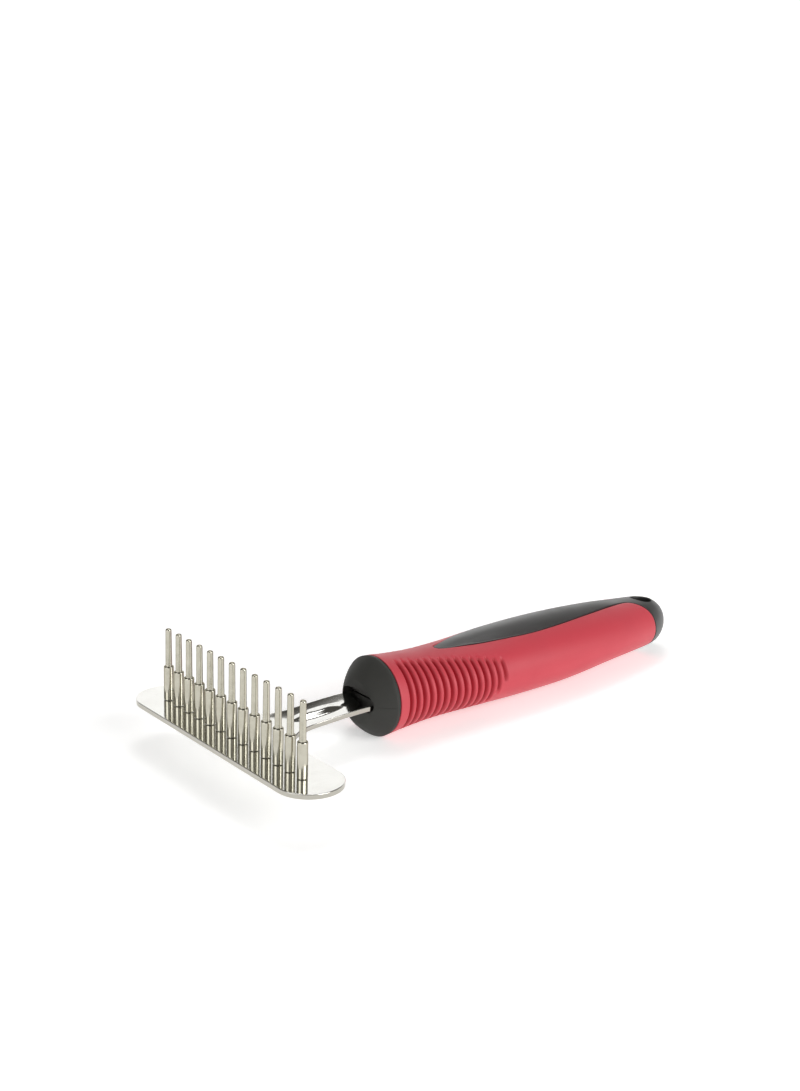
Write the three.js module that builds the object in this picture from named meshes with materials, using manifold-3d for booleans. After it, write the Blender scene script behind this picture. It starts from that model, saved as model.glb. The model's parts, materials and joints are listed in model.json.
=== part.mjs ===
// Dematting comb: a stamped steel head with thirteen stepped pins that turn in their holes, and a
// moulded handle of a black core, a black nose collar and a red soft grip.
//
// Millimetres, +Z up. The comb is drawn in its own working frame first: the origin is at the foot of
// the middle pin on the head's top face, +X runs towards the handle, +Z along the pins. At the end
// the whole comb is laid down as it rests on a table, on the collar and the belly of the handle with
// the head held clear, and the origin goes to the bottom centre of its box.

import * as THREE from 'three';
import { mergeVertices } from 'three/addons/utils/BufferGeometryUtils.js';
import Module from 'manifold-3d';

const wasm = await Module();
wasm.setup();

// ---------------------------------------------------------------- driving dimensions

const gap = 0.3; // between neighbouring mouldings
const finestEdge = 0.02; // shorter edges are left out

const pin = {
  count: 13,
  pitch: 6,
  height: 23, // tip above the head's top face
  shoulder: 11, // top of the thick stage
  thickRadius: 1.57,
  thinRadius: 1.02,
  tipRadius: 0.93,
  edge: 0.25, // rounding of the shoulder and the tip
  stemRadius: 1.0, // the part inside the head
  seat: 0.12, // the thick stage stands this far clear of the head
  footRadius: 1.5,
  footRise: 0.6, // height of the peened foot
  clearance: 0.2, // all round the stem and the foot
  sides: 12,
};

const head = {
  length: 95.8,
  width: 20.6,
  centre: 1.0, // of the stadium, behind the row of pins
  thickness: 1.6,
};

const neck = {
  width: 14.4,
  flareEnd: 25.5, // where the flared root has narrowed to the neck's width
  flareReach: 12, // how far the flare spreads along the head, each side
  riseStart: 9,
  riseEnd: 45,
  rise: 1.7, // of the top face between the head and the handle
};

const rib = { start: 20, end: 42, width: 6.4, height: 1.1, sunk: 0.1 };

const tang = { width: 12, start: 52, end: 104, cornerRadius: 2 };

const tangPin = { radius: 1.5, places: [64, 92], bottom: -5, top: 8, sides: 16 };

const collar = {
  front: 45.6,
  fullAt: 51.5, // where the dome reaches the handle's full section
  back: 52.7,
  faceFraction: 0.56, // of the full section, at the flat front
  power: 1.15, // of the dome's curve
  openingWidth: 16.6,
  openingHeight: 6.4,
  openingRise: 1.7, // height of the opening's middle: the neck lies low in it
  openingDepth: 3.4,
  boreWidth: 20,
  boreHeight: 18.4,
};

// Oval sections of the handle along X: half width, half height and height of the middle.
const sections = [
  { x: 44, halfWidth: 13.5, halfHeight: 13.2, middle: 0.8 },
  { x: 51, halfWidth: 13.3, halfHeight: 12.9, middle: 1.5 },
  { x: 60, halfWidth: 13.1, halfHeight: 11.9, middle: 1.7 },
  { x: 70, halfWidth: 13.7, halfHeight: 11.0, middle: 1.9 },
  { x: 84, halfWidth: 14.9, halfHeight: 10.8, middle: 2.2 },
  { x: 105, halfWidth: 15.8, halfHeight: 11.4, middle: 3.0 },
  { x: 126, halfWidth: 15.9, halfHeight: 11.2, middle: 3.7 },
  { x: 147, halfWidth: 14.6, halfHeight: 9.8, middle: 4.6 },
  { x: 168, halfWidth: 11.3, halfHeight: 8.6, middle: 4.7 },
  { x: 182, halfWidth: 8.4, halfHeight: 7.8, middle: 4.8 },
];

const tail = { end: 179.8, wideRoundStart: 165.4, tallRoundStart: 170.6 };

const grip = { front: 53, back: 167.2, wall: 2.4 };

const grooves = {
  count: 15,
  first: 57.2,
  step: 2.62,
  depth: 0.75,
  topAngle: 28, // degrees down from the crest where a groove starts
  bottomAngle: 150,
  fade: 10, // degrees over which a groove runs out
  shortened: 3, // rearmost grooves that get shorter and shallower
};

// Half outline of the leaf-shaped window, seen from above: distance along X, half width. The leaf
// lies a little towards +Y of the handle's middle.
const leafCentre = 1.5;
const leaf = [
  [76, 0],
  [77.4, 3.0],
  [84, 4.7],
  [95, 7.0],
  [110, 8.7],
  [125, 8.3],
  [141, 6.3],
  [153, 4.3],
  [159.5, 3.5],
  [163, 4.7],
  [166, 8.7],
  [167.2, 13.5],
];

// The leaf stands a little proud of the grip along its crest.
const crown = { rise: 0.6, angle: 32, start: 78, end: 160, fade: 12 };

const hangHole = { x: 170.4, radius: 3.7, sides: 24 };

const colours = {
  steel: { color: 0xcdcabf, roughness: 0.15, metalness: 1 },
  pinSteel: { color: 0xc4c0b2, roughness: 0.2, metalness: 1 },
  softRed: { color: 0xcc4a54, roughness: 0.55, metalness: 0 },
  blackCore: { color: 0x2b2b2a, roughness: 0.4, metalness: 0 },
  blackCollar: { color: 0x363632, roughness: 0.7, metalness: 0 },
};

// ---------------------------------------------------------------- solids

/** A closed geometry as a solid that can be cut and joined. */
function toSolid(geometry) {
  const bare = geometry.clone();
  bare.deleteAttribute('normal');
  bare.deleteAttribute('uv');
  const merged = mergeVertices(bare, 1e-4);
  const corners = merged.index.array;
  const triVerts = [];
  for (let i = 0; i < corners.length; i += 3) {
    const [a, b, c] = [corners[i], corners[i + 1], corners[i + 2]];
    if (a !== b && b !== c && c !== a) triVerts.push(a, b, c);
  }
  return new wasm.Manifold(new wasm.Mesh({
    numProp: 3,
    vertProperties: new Float32Array(merged.attributes.position.array),
    triVerts: new Uint32Array(triVerts),
  }));
}

/** A solid back as a geometry, without the slivers that cutting leaves. */
function toGeometry(solid) {
  const mesh = solid.simplify(finestEdge).getMesh();
  const geometry = new THREE.BufferGeometry();
  geometry.setAttribute('position', new THREE.BufferAttribute(mesh.vertProperties, 3));
  geometry.setIndex(new THREE.BufferAttribute(mesh.triVerts, 1));
  geometry.computeVertexNormals();
  return geometry;
}

/** A flat outline in XY raised from one height to another. */
function prism(shape, bottom, top, curveSegments = 12) {
  const geometry = new THREE.ExtrudeGeometry(shape, {
    depth: top - bottom,
    bevelEnabled: false,
    curveSegments,
  });
  geometry.translate(0, 0, bottom);
  return toSolid(geometry);
}

/** An upright cylinder. */
function post(x, y, bottom, top, radius, sides) {
  const geometry = new THREE.CylinderGeometry(radius, radius, top - bottom, sides);
  geometry.rotateX(Math.PI / 2);
  geometry.translate(x, y, (bottom + top) / 2);
  return toSolid(geometry);
}

/** A box between two corners. */
function block(low, high) {
  const size = high.map((value, axis) => value - low[axis]);
  const geometry = new THREE.BoxGeometry(...size);
  geometry.translate(...low.map((value, axis) => value + size[axis] / 2));
  return toSolid(geometry);
}

/** A solid turned about the upright axis: points are [radius, height], from the axis to the axis. */
function turned(points, sides) {
  const profile = points.map(([radius, height]) => new THREE.Vector2(radius, height));
  const geometry = new THREE.LatheGeometry(profile, sides);
  geometry.rotateX(Math.PI / 2);
  return geometry;
}

// ---------------------------------------------------------------- the handle's form

const sectionCurve = new THREE.CubicInterpolant(
  sections.map((section) => section.x),
  sections.flatMap((section) => [section.halfWidth, section.halfHeight, section.middle]),
  3,
);

/** How much of the full section is left at x, where a quarter ellipse closes the tail. */
function roundOff(x, start) {
  const part = THREE.MathUtils.clamp((x - start) / (tail.end - start), 0, 1);
  return Math.sqrt(1 - part * part);
}

/** The handle's oval at x. */
function sectionAt(x) {
  const [halfWidth, halfHeight, middle] = sectionCurve.evaluate(x);
  return {
    halfWidth: halfWidth * roundOff(x, tail.wideRoundStart),
    halfHeight: halfHeight * roundOff(x, tail.tallRoundStart),
    middle,
  };
}

/**
 * A solid along the handle through the given stations. The shape of each section is the handle's own
 * oval, and radius(x, angle) says how far out it goes: a fraction of the oval and an amount in mm.
 */
function alongHandle(stations, sides, radius) {
  const profile = [
    new THREE.Vector2(0, stations[0]),
    ...stations.map((x) => new THREE.Vector2(1, x)),
    new THREE.Vector2(0, stations.at(-1)),
  ];
  const geometry = new THREE.LatheGeometry(profile, sides);
  const position = geometry.attributes.position;
  for (let i = 0; i < position.count; i += 1) {
    const across = position.getZ(i);
    const up = position.getX(i);
    const x = position.getY(i);
    const { halfWidth, halfHeight, middle } = sectionAt(x);
    const angle = THREE.MathUtils.radToDeg(Math.atan2(Math.abs(across), up));
    const { fraction, outset } = radius(x, angle);
    const y = across * Math.max(halfWidth * fraction + outset, 0);
    const z = middle + up * Math.max(halfHeight * fraction + outset, 0);
    position.setXYZ(i, x, y, z);
  }
  return toSolid(geometry);
}

/** Evenly spaced stations. */
function spaced(from, to, steps) {
  return Array.from({ length: steps + 1 }, (_, i) => from + ((to - from) * i) / steps);
}

/** Stations that crowd together towards the end of the tail. */
function tailStations(from, steps) {
  return spaced(0, Math.PI / 2, steps).map((turn) => from + (tail.end - 0.01 - from) * Math.sin(turn));
}

/** The handle's outline, moved out (or in, where negative) by an amount. */
function outline(from, to, steps, sides, outset) {
  return alongHandle(spaced(from, to, steps), sides, () => ({ fraction: 1, outset }));
}

// ---------------------------------------------------------------- head, neck and tang

/** Height of the stamping's top face at x: flat head, gentle rise along the neck, level tang. */
function sheetTop(x) {
  return neck.rise * THREE.MathUtils.smoothstep(x, neck.riseStart, neck.riseEnd);
}

/** Plan of the stamping: the stadium head, the flared root, the neck and the tang. */
function stampingPlan() {
  const radius = head.width / 2;
  const reach = head.length / 2 - radius;
  const back = head.centre + radius;
  const half = neck.width / 2;
  const spread = half + neck.flareReach;
  const bend = [half + neck.flareReach / 3, (back + neck.flareEnd) / 2];
  const shape = new THREE.Shape();
  shape.moveTo(back, -spread);
  shape.lineTo(back, -reach);
  shape.absarc(head.centre, -reach, radius, 0, -Math.PI, true);
  shape.absarc(head.centre, reach, radius, Math.PI, 0, true);
  shape.lineTo(back, spread);
  shape.bezierCurveTo(back, bend[0], bend[1], half, neck.flareEnd, half);
  shape.lineTo(tang.start - tang.cornerRadius, half);
  shape.lineTo(tang.start, tang.width / 2);
  shape.lineTo(tang.end - tang.cornerRadius, tang.width / 2);
  shape.lineTo(tang.end, tang.width / 2 - tang.cornerRadius);
  shape.lineTo(tang.end, tang.cornerRadius - tang.width / 2);
  shape.lineTo(tang.end - tang.cornerRadius, -tang.width / 2);
  shape.lineTo(tang.start, -tang.width / 2);
  shape.lineTo(tang.start - tang.cornerRadius, -half);
  shape.lineTo(neck.flareEnd, -half);
  shape.bezierCurveTo(bend[1], -half, back, -bend[0], back, -spread);
  return shape;
}

/** The sheet seen from the side, as wide as the head is long. */
function bentSheet() {
  const xs = [head.centre - head.width, ...spaced(neck.riseStart, neck.riseEnd, 10), tang.end + 1];
  const shape = new THREE.Shape();
  xs.forEach((x, i) => {
    if (i === 0) shape.moveTo(x, sheetTop(x));
    else shape.lineTo(x, sheetTop(x));
  });
  [...xs].reverse().forEach((x) => shape.lineTo(x, sheetTop(x) - head.thickness));
  const geometry = new THREE.ExtrudeGeometry(shape, { depth: head.length + 2, bevelEnabled: false });
  geometry.translate(0, 0, -(head.length + 2) / 2);
  geometry.rotateX(Math.PI / 2);
  return toSolid(geometry);
}

/** The pressed rib: a long low dome that follows the sheet, its rim a given height off the top. */
function ribDome(rimLift) {
  const geometry = new THREE.SphereGeometry(1, 20, 12);
  geometry.scale((rib.end - rib.start) / 2, rib.width / 2, rib.height);
  geometry.translate((rib.start + rib.end) / 2, 0, 0);
  const position = geometry.attributes.position;
  for (let i = 0; i < position.count; i += 1) {
    position.setZ(i, position.getZ(i) + sheetTop(position.getX(i)) + rimLift);
  }
  return toSolid(geometry);
}

/** The hole for one pin: a bore with a countersink below. */
function pinHole(y) {
  const bore = pin.stemRadius + pin.clearance;
  const sink = pin.footRadius + pin.clearance;
  const sinkTop = -head.thickness + pin.footRise + pin.clearance;
  const geometry = turned([
    [0, -head.thickness - 1],
    [sink, -head.thickness - 1],
    [sink, -head.thickness],
    [bore, sinkTop],
    [bore, 1],
    [0, 1],
  ], pin.sides * 2);
  geometry.translate(0, y, 0);
  return toSolid(geometry);
}

function pinPlaces() {
  const first = -((pin.count - 1) / 2) * pin.pitch;
  return Array.from({ length: pin.count }, (_, i) => -(first + i * pin.pitch));
}

function headPlate() {
  let sheet = bentSheet().intersect(prism(stampingPlan(), -5, 8, 10));
  sheet = sheet.add(ribDome(-rib.sunk)).subtract(ribDome(-head.thickness - rib.sunk));
  for (const y of pinPlaces()) sheet = sheet.subtract(pinHole(y));
  for (const x of tangPin.places) {
    sheet = sheet.subtract(post(x, 0, -5, 8, tangPin.radius + gap, tangPin.sides));
  }
  return toGeometry(sheet);
}

// ---------------------------------------------------------------- pins

/** One stepped pin: peened foot, stem, thick stage, thin stage with a rounded tip. */
function pinGeometry() {
  const foot = -head.thickness + 0.03;
  return turned([
    [0, foot],
    [pin.footRadius, foot],
    [pin.stemRadius, foot + pin.footRise],
    [pin.stemRadius, pin.seat],
    [pin.thickRadius, pin.seat],
    [pin.thickRadius, pin.shoulder - pin.edge],
    [pin.thickRadius - pin.edge, pin.shoulder],
    [pin.thinRadius, pin.shoulder],
    [pin.tipRadius, pin.height - pin.edge],
    [pin.tipRadius - pin.edge, pin.height],
    [0, pin.height],
  ], pin.sides);
}

// ---------------------------------------------------------------- handle

/** How far the leaf rises above the handle's oval, most along its crest. */
function crownRise(x, angle) {
  const { smoothstep } = THREE.MathUtils;
  const along = smoothstep(x, crown.start, crown.start + crown.fade)
    * (1 - smoothstep(x, crown.end - crown.fade, crown.end));
  return crown.rise * along * (1 - smoothstep(angle, 0, crown.angle));
}

/** The black areas of the handle's skin as one upright cutter: the leaf and the whole tail. */
function blackPlan(grow) {
  const far = tail.end + 5;
  const wide = 20;
  const [point, ...sides] = leaf;
  const half = [[point[0] - grow, 0], ...sides.map(([x, y]) => [x, y + grow])];
  const edge = new THREE.SplineCurve(half.map((place) => new THREE.Vector2(...place))).getPoints(40);
  const back = grip.back - grow;
  const points = edge.filter((place) => place.x < back);
  const shape = new THREE.Shape();
  shape.moveTo(points[0].x, leafCentre);
  points.slice(1).forEach((place) => shape.lineTo(place.x, leafCentre + place.y));
  shape.lineTo(back, wide);
  shape.lineTo(far, wide);
  shape.lineTo(far, -wide);
  shape.lineTo(back, -wide);
  [...points].reverse().slice(0, -1).forEach((place) => shape.lineTo(place.x, leafCentre - place.y));
  return shape;
}

/** The room that the black skin takes: the leaf from the middle up, the tail all round. */
function blackRoom(grow) {
  const middle = sectionAt(110).middle;
  const upper = prism(blackPlan(grow), middle, 30);
  const lower = block([grip.back - grow, -20, -20], [tail.end + 5, 20, middle + 1]);
  return upper.add(lower);
}

/** Depth of the grip's cross grooves at a place on its skin. */
function grooveDepth(x, angle) {
  const index = Math.round((x - grooves.first) / grooves.step);
  if (index < 0 || index >= grooves.count) return 0;
  const off = Math.abs(x - grooves.first - index * grooves.step) / (grooves.step / 2);
  const shorter = Math.max(0, index - (grooves.count - 1 - grooves.shortened)) / grooves.shortened;
  const top = grooves.topAngle + 22 * shorter;
  const bottom = grooves.bottomAngle - 60 * shorter;
  const in1 = THREE.MathUtils.smoothstep(angle, top, top + grooves.fade);
  const in2 = 1 - THREE.MathUtils.smoothstep(angle, bottom - grooves.fade, bottom);
  return grooves.depth * (1 - 0.5 * shorter) * (1 - off) * in1 * in2;
}

function gripSleeve() {
  const last = grooves.first + (grooves.count - 0.5) * grooves.step;
  const stations = [
    grip.front,
    ...spaced(grooves.first - grooves.step / 2, last, grooves.count * 2),
    ...spaced(last + 4, grip.back + 2, 14),
  ];
  const skin = alongHandle(stations, 36, (x, angle) => ({
    fraction: 1,
    outset: -grooveDepth(x, angle),
  }));
  const inside = outline(grip.front - 1, grip.back + 1, 12, 28, -grip.wall);
  return toGeometry(skin.subtract(inside).subtract(blackRoom(gap)));
}

/** The outline of an oval in the YZ plane carried along X. */
function ovalBar(from, to, width, height, rise, sides) {
  const geometry = new THREE.CylinderGeometry(1, 1, to - from, sides);
  geometry.scale(width / 2, 1, height / 2);
  geometry.rotateZ(-Math.PI / 2);
  const position = geometry.attributes.position;
  for (let i = 0; i < position.count; i += 1) {
    const y = position.getY(i);
    const z = position.getZ(i);
    position.setXYZ(i, position.getX(i) + (from + to) / 2, y, z + rise);
  }
  return toSolid(geometry);
}

function handleCore() {
  const skinStations = [...spaced(70, 160, 12), ...tailStations(165, 7)];
  const skin = alongHandle(skinStations, 48, (x, angle) => ({
    fraction: 1,
    outset: crownRise(x, angle),
  }));
  const body = outline(grip.front, grip.back + 4, 14, 28, -grip.wall - gap);
  const nose = ovalBar(
    collar.front + collar.openingDepth + gap,
    grip.front + 1,
    collar.boreWidth - 2 * gap,
    collar.boreHeight - 2 * gap,
    sectionAt(collar.back).middle,
    28,
  );
  const level = sheetTop(tang.end);
  const slot = block(
    [collar.front, -neck.width / 2 - gap, level - head.thickness - gap],
    [tang.start + gap, neck.width / 2 + gap, level + gap],
  );
  const deepSlot = block(
    [tang.start, -tang.width / 2 - gap, level - head.thickness - gap],
    [tang.end + gap, tang.width / 2 + gap, level + gap],
  );
  let core = body.add(nose).add(skin.intersect(blackRoom(0)));
  core = core.subtract(slot).subtract(deepSlot);
  core = core.subtract(post(hangHole.x, 0, -20, 30, hangHole.radius, hangHole.sides));
  const [pinFrom, pinTo] = [tangPin.bottom - gap, tangPin.top + gap];
  for (const x of tangPin.places) {
    core = core.subtract(post(x, 0, pinFrom, pinTo, tangPin.radius + gap, tangPin.sides));
  }
  return toGeometry(core);
}

function frontCollar() {
  const stations = [...spaced(0, Math.PI / 2, 6).map((turn) => collar.fullAt
    - (collar.fullAt - collar.front) * Math.cos(turn)), collar.back];
  const dome = alongHandle(stations, 36, (x) => {
    const back = THREE.MathUtils.clamp((collar.fullAt - x) / (collar.fullAt - collar.front), 0, 1);
    const swell = (1 - back ** collar.power) ** (1 / collar.power);
    return { fraction: collar.faceFraction + (1 - collar.faceFraction) * swell, outset: 0 };
  });
  const mouth = ovalBar(
    collar.front - 1,
    collar.front + collar.openingDepth + 1,
    collar.openingWidth,
    collar.openingHeight,
    collar.openingRise,
    28,
  );
  const bore = ovalBar(
    collar.front + collar.openingDepth,
    collar.back + 1,
    collar.boreWidth,
    collar.boreHeight,
    sectionAt(collar.back).middle,
    28,
  );
  return toGeometry(dome.subtract(mouth).subtract(bore));
}

/** A steel cross pin that holds the tang. */
function tangPinGeometry(x) {
  const geometry = new THREE.CylinderGeometry(
    tangPin.radius,
    tangPin.radius,
    tangPin.top - tangPin.bottom,
    tangPin.sides,
  );
  geometry.rotateX(Math.PI / 2);
  geometry.translate(x, 0, (tangPin.top + tangPin.bottom) / 2);
  return geometry;
}

// ---------------------------------------------------------------- assembly

const comb = new THREE.Group();

/** Adds one named piece in the comb's working frame. */
function addPiece(name, geometry, finish) {
  const mesh = new THREE.Mesh(geometry, new THREE.MeshStandardMaterial(finish));
  mesh.name = name;
  comb.add(mesh);
  return mesh;
}

addPiece('head_plate', headPlate(), colours.steel);
pinPlaces().forEach((y, i) => {
  const mesh = addPiece(`pin_${String(i + 1).padStart(2, '0')}`, pinGeometry(), colours.pinSteel);
  mesh.position.y = y;
});
addPiece('front_collar', frontCollar(), colours.blackCollar);
addPiece('handle_core', handleCore(), colours.blackCore);
addPiece('grip_sleeve', gripSleeve(), colours.softRed);
addPiece('tang_pin_front', tangPinGeometry(tangPin.places[0]), colours.pinSteel);
addPiece('tang_pin_rear', tangPinGeometry(tangPin.places[1]), colours.pinSteel);

/** The turn about Y that lays the belly of the handle level with the lowest point of the collar. */
function restTurn() {
  const lowest = (x) => sectionAt(x).middle - sectionAt(x).halfHeight;
  const slopes = spaced((grip.front + grip.back) / 2 - 30, grip.back, 200).map((x) => Math.atan2(
    lowest(x) - lowest(collar.fullAt),
    x - collar.fullAt,
  ));
  return Math.min(...slopes);
}

const group = new THREE.Group();
comb.rotation.y = restTurn();
group.add(comb);
group.updateMatrixWorld(true);
const bounds = new THREE.Box3().setFromObject(group, true);
comb.position.set(-(bounds.min.x + bounds.max.x) / 2, -(bounds.min.y + bounds.max.y) / 2, -bounds.min.z);

export default group;
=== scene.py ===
"""Dematting comb: a plated steel head with thirteen turned pins, and a two-colour moulded handle.

Shapes are worked out in the comb's own working frame, in millimetres: the origin is the foot of the
middle pin on the head's top face, X runs to the handle, Y to the first pin and Z along the pins.
That frame is read off the middle pin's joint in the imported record, and every piece is placed by it.
"""

import json
import logging
import math
from dataclasses import dataclass, field
from enum import Enum
from typing import Any, Optional, Sequence

import bmesh
import bpy
import numpy as np
from mathutils import Matrix, Vector
from mathutils.geometry import delaunay_2d_cdt


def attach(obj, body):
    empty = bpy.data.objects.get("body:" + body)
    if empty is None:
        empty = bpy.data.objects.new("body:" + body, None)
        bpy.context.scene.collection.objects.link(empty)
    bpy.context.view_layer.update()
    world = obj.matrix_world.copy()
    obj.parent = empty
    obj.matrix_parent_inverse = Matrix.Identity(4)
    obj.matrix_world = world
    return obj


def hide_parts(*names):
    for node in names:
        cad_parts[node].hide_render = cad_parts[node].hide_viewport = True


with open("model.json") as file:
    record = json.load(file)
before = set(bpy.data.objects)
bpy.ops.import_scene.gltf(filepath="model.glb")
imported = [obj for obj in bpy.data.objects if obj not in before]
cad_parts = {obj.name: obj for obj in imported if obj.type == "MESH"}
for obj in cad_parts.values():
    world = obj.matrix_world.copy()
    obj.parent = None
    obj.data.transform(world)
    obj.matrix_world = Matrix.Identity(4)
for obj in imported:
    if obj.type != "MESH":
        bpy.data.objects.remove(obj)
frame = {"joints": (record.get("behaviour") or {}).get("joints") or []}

LOG = logging.getLogger("dematting_comb")
MM = 0.001
HANDLE_BODY = "handle"
# Point attribute holding groove depth, which the grip's finish turns into painted shade.
GROOVE_ATTRIBUTE = "groove"
# Points of a mesh closer than this, in metres, are one point.
WELD = 1e-6
# Edges that turn by more degrees than this stay sharp.
SHARP_ANGLE = 38.0


class Slot(Enum):
    """The record's material slots."""

    PLATED_SHEET = "plated_sheet"
    PIN_STEEL = "pin_steel"
    BLACK_COLLAR = "black_collar"
    BLACK_CORE = "black_core"
    RED_SOFT_GRIP = "red_soft_grip"


# ---------------------------------------------------------------- small tools


def linear(colour: str) -> tuple[float, float, float, float]:
    """Turns an sRGB hex colour into linear RGBA.

    Args:
        colour: such as "#C9C6B8".

    Returns:
        Linear red, green, blue and an alpha of 1.
    """
    parts = np.array([int(colour[i : i + 2], 16) for i in (1, 3, 5)]) / 255.0
    low = parts / 12.92
    high = ((parts + 0.055) / 1.055) ** 2.4
    return (*np.where(parts <= 0.04045, low, high).tolist(), 1.0)


def add_node(
    tree: bpy.types.NodeTree,
    kind: str,
    settings: Optional[dict[str, Any]] = None,
    values: Optional[dict[Any, Any]] = None,
    links: Optional[dict[Any, bpy.types.NodeSocket]] = None,
) -> bpy.types.Node:
    """Adds one node with its settings, its own input values and its incoming links.

    Args:
        tree: the material's or the world's tree.
        kind: the node's type name.
        settings: attributes of the node.
        values: default values of inputs, by name or number.
        links: sockets that feed inputs, by name or number.

    Returns:
        The new node.
    """
    node = tree.nodes.new(kind)
    for name, value in (settings or {}).items():
        setattr(node, name, value)
    for name, value in (values or {}).items():
        node.inputs[name].default_value = value
    for name, socket in (links or {}).items():
        tree.links.new(socket, node.inputs[name])
    return node


def smoothstep(values: np.ndarray, low: float, high: float) -> np.ndarray:
    """Rises from 0 at low to 1 at high along 3t^2 - 2t^3."""
    part = np.clip((np.asarray(values, float) - low) / (high - low), 0.0, 1.0)
    return part * part * (3.0 - 2.0 * part)


def rounded(distance: np.ndarray, radius: float) -> np.ndarray:
    """How far an edge of that radius has fallen at a distance from the edge: a quarter circle."""
    inside = np.clip(radius - np.asarray(distance, float), 0.0, radius)
    return radius - np.sqrt(radius * radius - inside * inside)


def grid_faces(rows: int, columns: int, closed: bool) -> np.ndarray:
    """Quads between the neighbours of a grid whose points are numbered row by row.

    Args:
        rows: number of rows.
        columns: points in a row.
        closed: join the last column to the first.

    Returns:
        An (n, 4) array of point numbers.
    """
    row = np.arange(rows - 1)[:, None]
    column = np.arange(columns if closed else columns - 1)[None, :]
    here, below = row * columns, (row + 1) * columns
    after = (column + 1) % columns
    corners = (here + column, here + after, below + after, below + column)
    return np.stack(corners, axis=-1).reshape(-1, 4)


@dataclass(frozen=True)
class CombFrame:
    """The comb's working frame: where its origin is and which way its axes point, in the row frame."""

    origin: np.ndarray
    axes: np.ndarray

    @classmethod
    def from_joint(cls, joint: dict[str, Any]) -> "CombFrame":
        """Reads the frame off the middle pin's joint: its foot is the origin and its axis is Z.

        Args:
            joint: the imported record's entry for the joint.

        Returns:
            The frame.
        """
        up = np.array(joint["axis"], float)
        up /= np.linalg.norm(up)
        along = np.cross((0.0, 1.0, 0.0), up)
        along /= np.linalg.norm(along)
        return cls(np.array(joint["pos_m"], float), np.stack((along, np.cross(up, along), up)))

    def place(self, points: np.ndarray) -> np.ndarray:
        """Points in the comb's millimetres as points in the row frame's metres."""
        return self.origin + np.asarray(points, float) * MM @ self.axes

    def local(self, points: np.ndarray) -> np.ndarray:
        """Points in the row frame's metres as points in the comb's millimetres."""
        return (np.asarray(points, float) - self.origin) / MM @ self.axes.T

    def turn(self, direction: Sequence[float]) -> Vector:
        """A direction of the comb's frame in the row frame."""
        return Vector(np.asarray(direction, float) @ self.axes)


@dataclass
class Shell:
    """Points and faces of one closed surface, in the comb's millimetres."""

    points: np.ndarray
    faces: list[np.ndarray]

    def joined(self, other: "Shell") -> "Shell":
        """This surface and another in one."""
        moved = [faces + len(self.points) for faces in other.faces]
        return Shell(np.concatenate((self.points, other.points)), [*self.faces, *moved])


def loft(rings: np.ndarray) -> Shell:
    """A closed solid through rings of points, each end drawn to the middle of its ring.

    Args:
        rings: (rows, columns, 3) points, each row going round once.

    Returns:
        The rings' quads and a fan of triangles on each end.
    """
    rows, columns = rings.shape[:2]
    ends = np.stack((rings[0].mean(axis=0), rings[-1].mean(axis=0)))
    points = np.concatenate((rings.reshape(-1, 3), ends))
    first = np.arange(columns)
    after = (first + 1) % columns
    last = (rows - 1) * columns
    low = np.stack((np.full(columns, rows * columns), after, first), axis=-1)
    high = np.stack((np.full(columns, rows * columns + 1), last + first, last + after), axis=-1)
    return Shell(points, [grid_faces(rows, columns, True), low, high])


def make_object(name: str, shell: Shell, comb: CombFrame) -> bpy.types.Object:
    """Puts a surface into a smooth-shaded mesh object at the origin, with its faces outwards.

    Args:
        name: the piece's name.
        shell: its surface in the comb's millimetres.
        comb: the working frame.

    Returns:
        The new object, linked to the scene.
    """
    mesh = bpy.data.meshes.new(name)
    corners = [face for faces in shell.faces for face in faces.tolist()]
    mesh.from_pydata(comb.place(shell.points), [], corners)
    piece = bpy.data.objects.new(name, mesh)
    bpy.context.scene.collection.objects.link(piece)
    tidy_mesh(mesh)
    return piece


def tidy_mesh(mesh: bpy.types.Mesh) -> None:
    """Welds doubled points, turns the faces outwards and shades smoothly except at sharp edges.

    Args:
        mesh: changed in place.
    """
    work = bmesh.new()
    work.from_mesh(mesh)
    bmesh.ops.remove_doubles(work, verts=work.verts, dist=WELD)
    bmesh.ops.dissolve_degenerate(work, edges=work.edges, dist=WELD)
    bmesh.ops.recalc_face_normals(work, faces=work.faces)
    work.to_mesh(mesh)
    work.free()
    mesh.shade_smooth()
    mesh.set_sharp_from_angle(angle=math.radians(SHARP_ANGLE))
    mesh.update()


def cut(piece: bpy.types.Object, cutter: bpy.types.Object) -> None:
    """Cuts one closed mesh out of another, and removes the cutter.

    Args:
        piece: keeps what is left.
        cutter: the volume to take away.
    """
    modifier = piece.modifiers.new("cut", "BOOLEAN")
    modifier.operation = "DIFFERENCE"
    modifier.solver = "EXACT"
    modifier.object = cutter
    depsgraph = bpy.context.evaluated_depsgraph_get()
    result = bpy.data.meshes.new_from_object(piece.evaluated_get(depsgraph))
    piece.modifiers.clear()
    old = piece.data
    piece.data = result
    result.name = old.name
    bpy.data.meshes.remove(old)
    bpy.data.objects.remove(cutter)
    tidy_mesh(piece.data)


def finish_piece(
    piece: bpy.types.Object, material: bpy.types.Material, body: str, slot: Slot, *nodes: str
) -> None:
    """Dresses a piece, ties it to its body and lets it stand for its CAD nodes.

    Args:
        piece: the finished mesh object.
        material: its finish.
        body: the CAD body it moves with.
        slot: the record's slot for this finish; not used.
        nodes: the CAD nodes it replaces.
    """
    piece.data.materials.clear()
    piece.data.materials.append(material)
    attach(piece, body)
    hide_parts(*nodes)
    LOG.info("%s: %d faces, stands for %s", piece.name, len(piece.data.polygons), ", ".join(nodes))


# ---------------------------------------------------------------- finishes


# The Mix node names its inputs alike for every kind of data, so the ones for colour go by number.
MIX_FACTOR, MIX_FIRST, MIX_SECOND, MIX_RESULT = 0, 6, 7, 2
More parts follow.
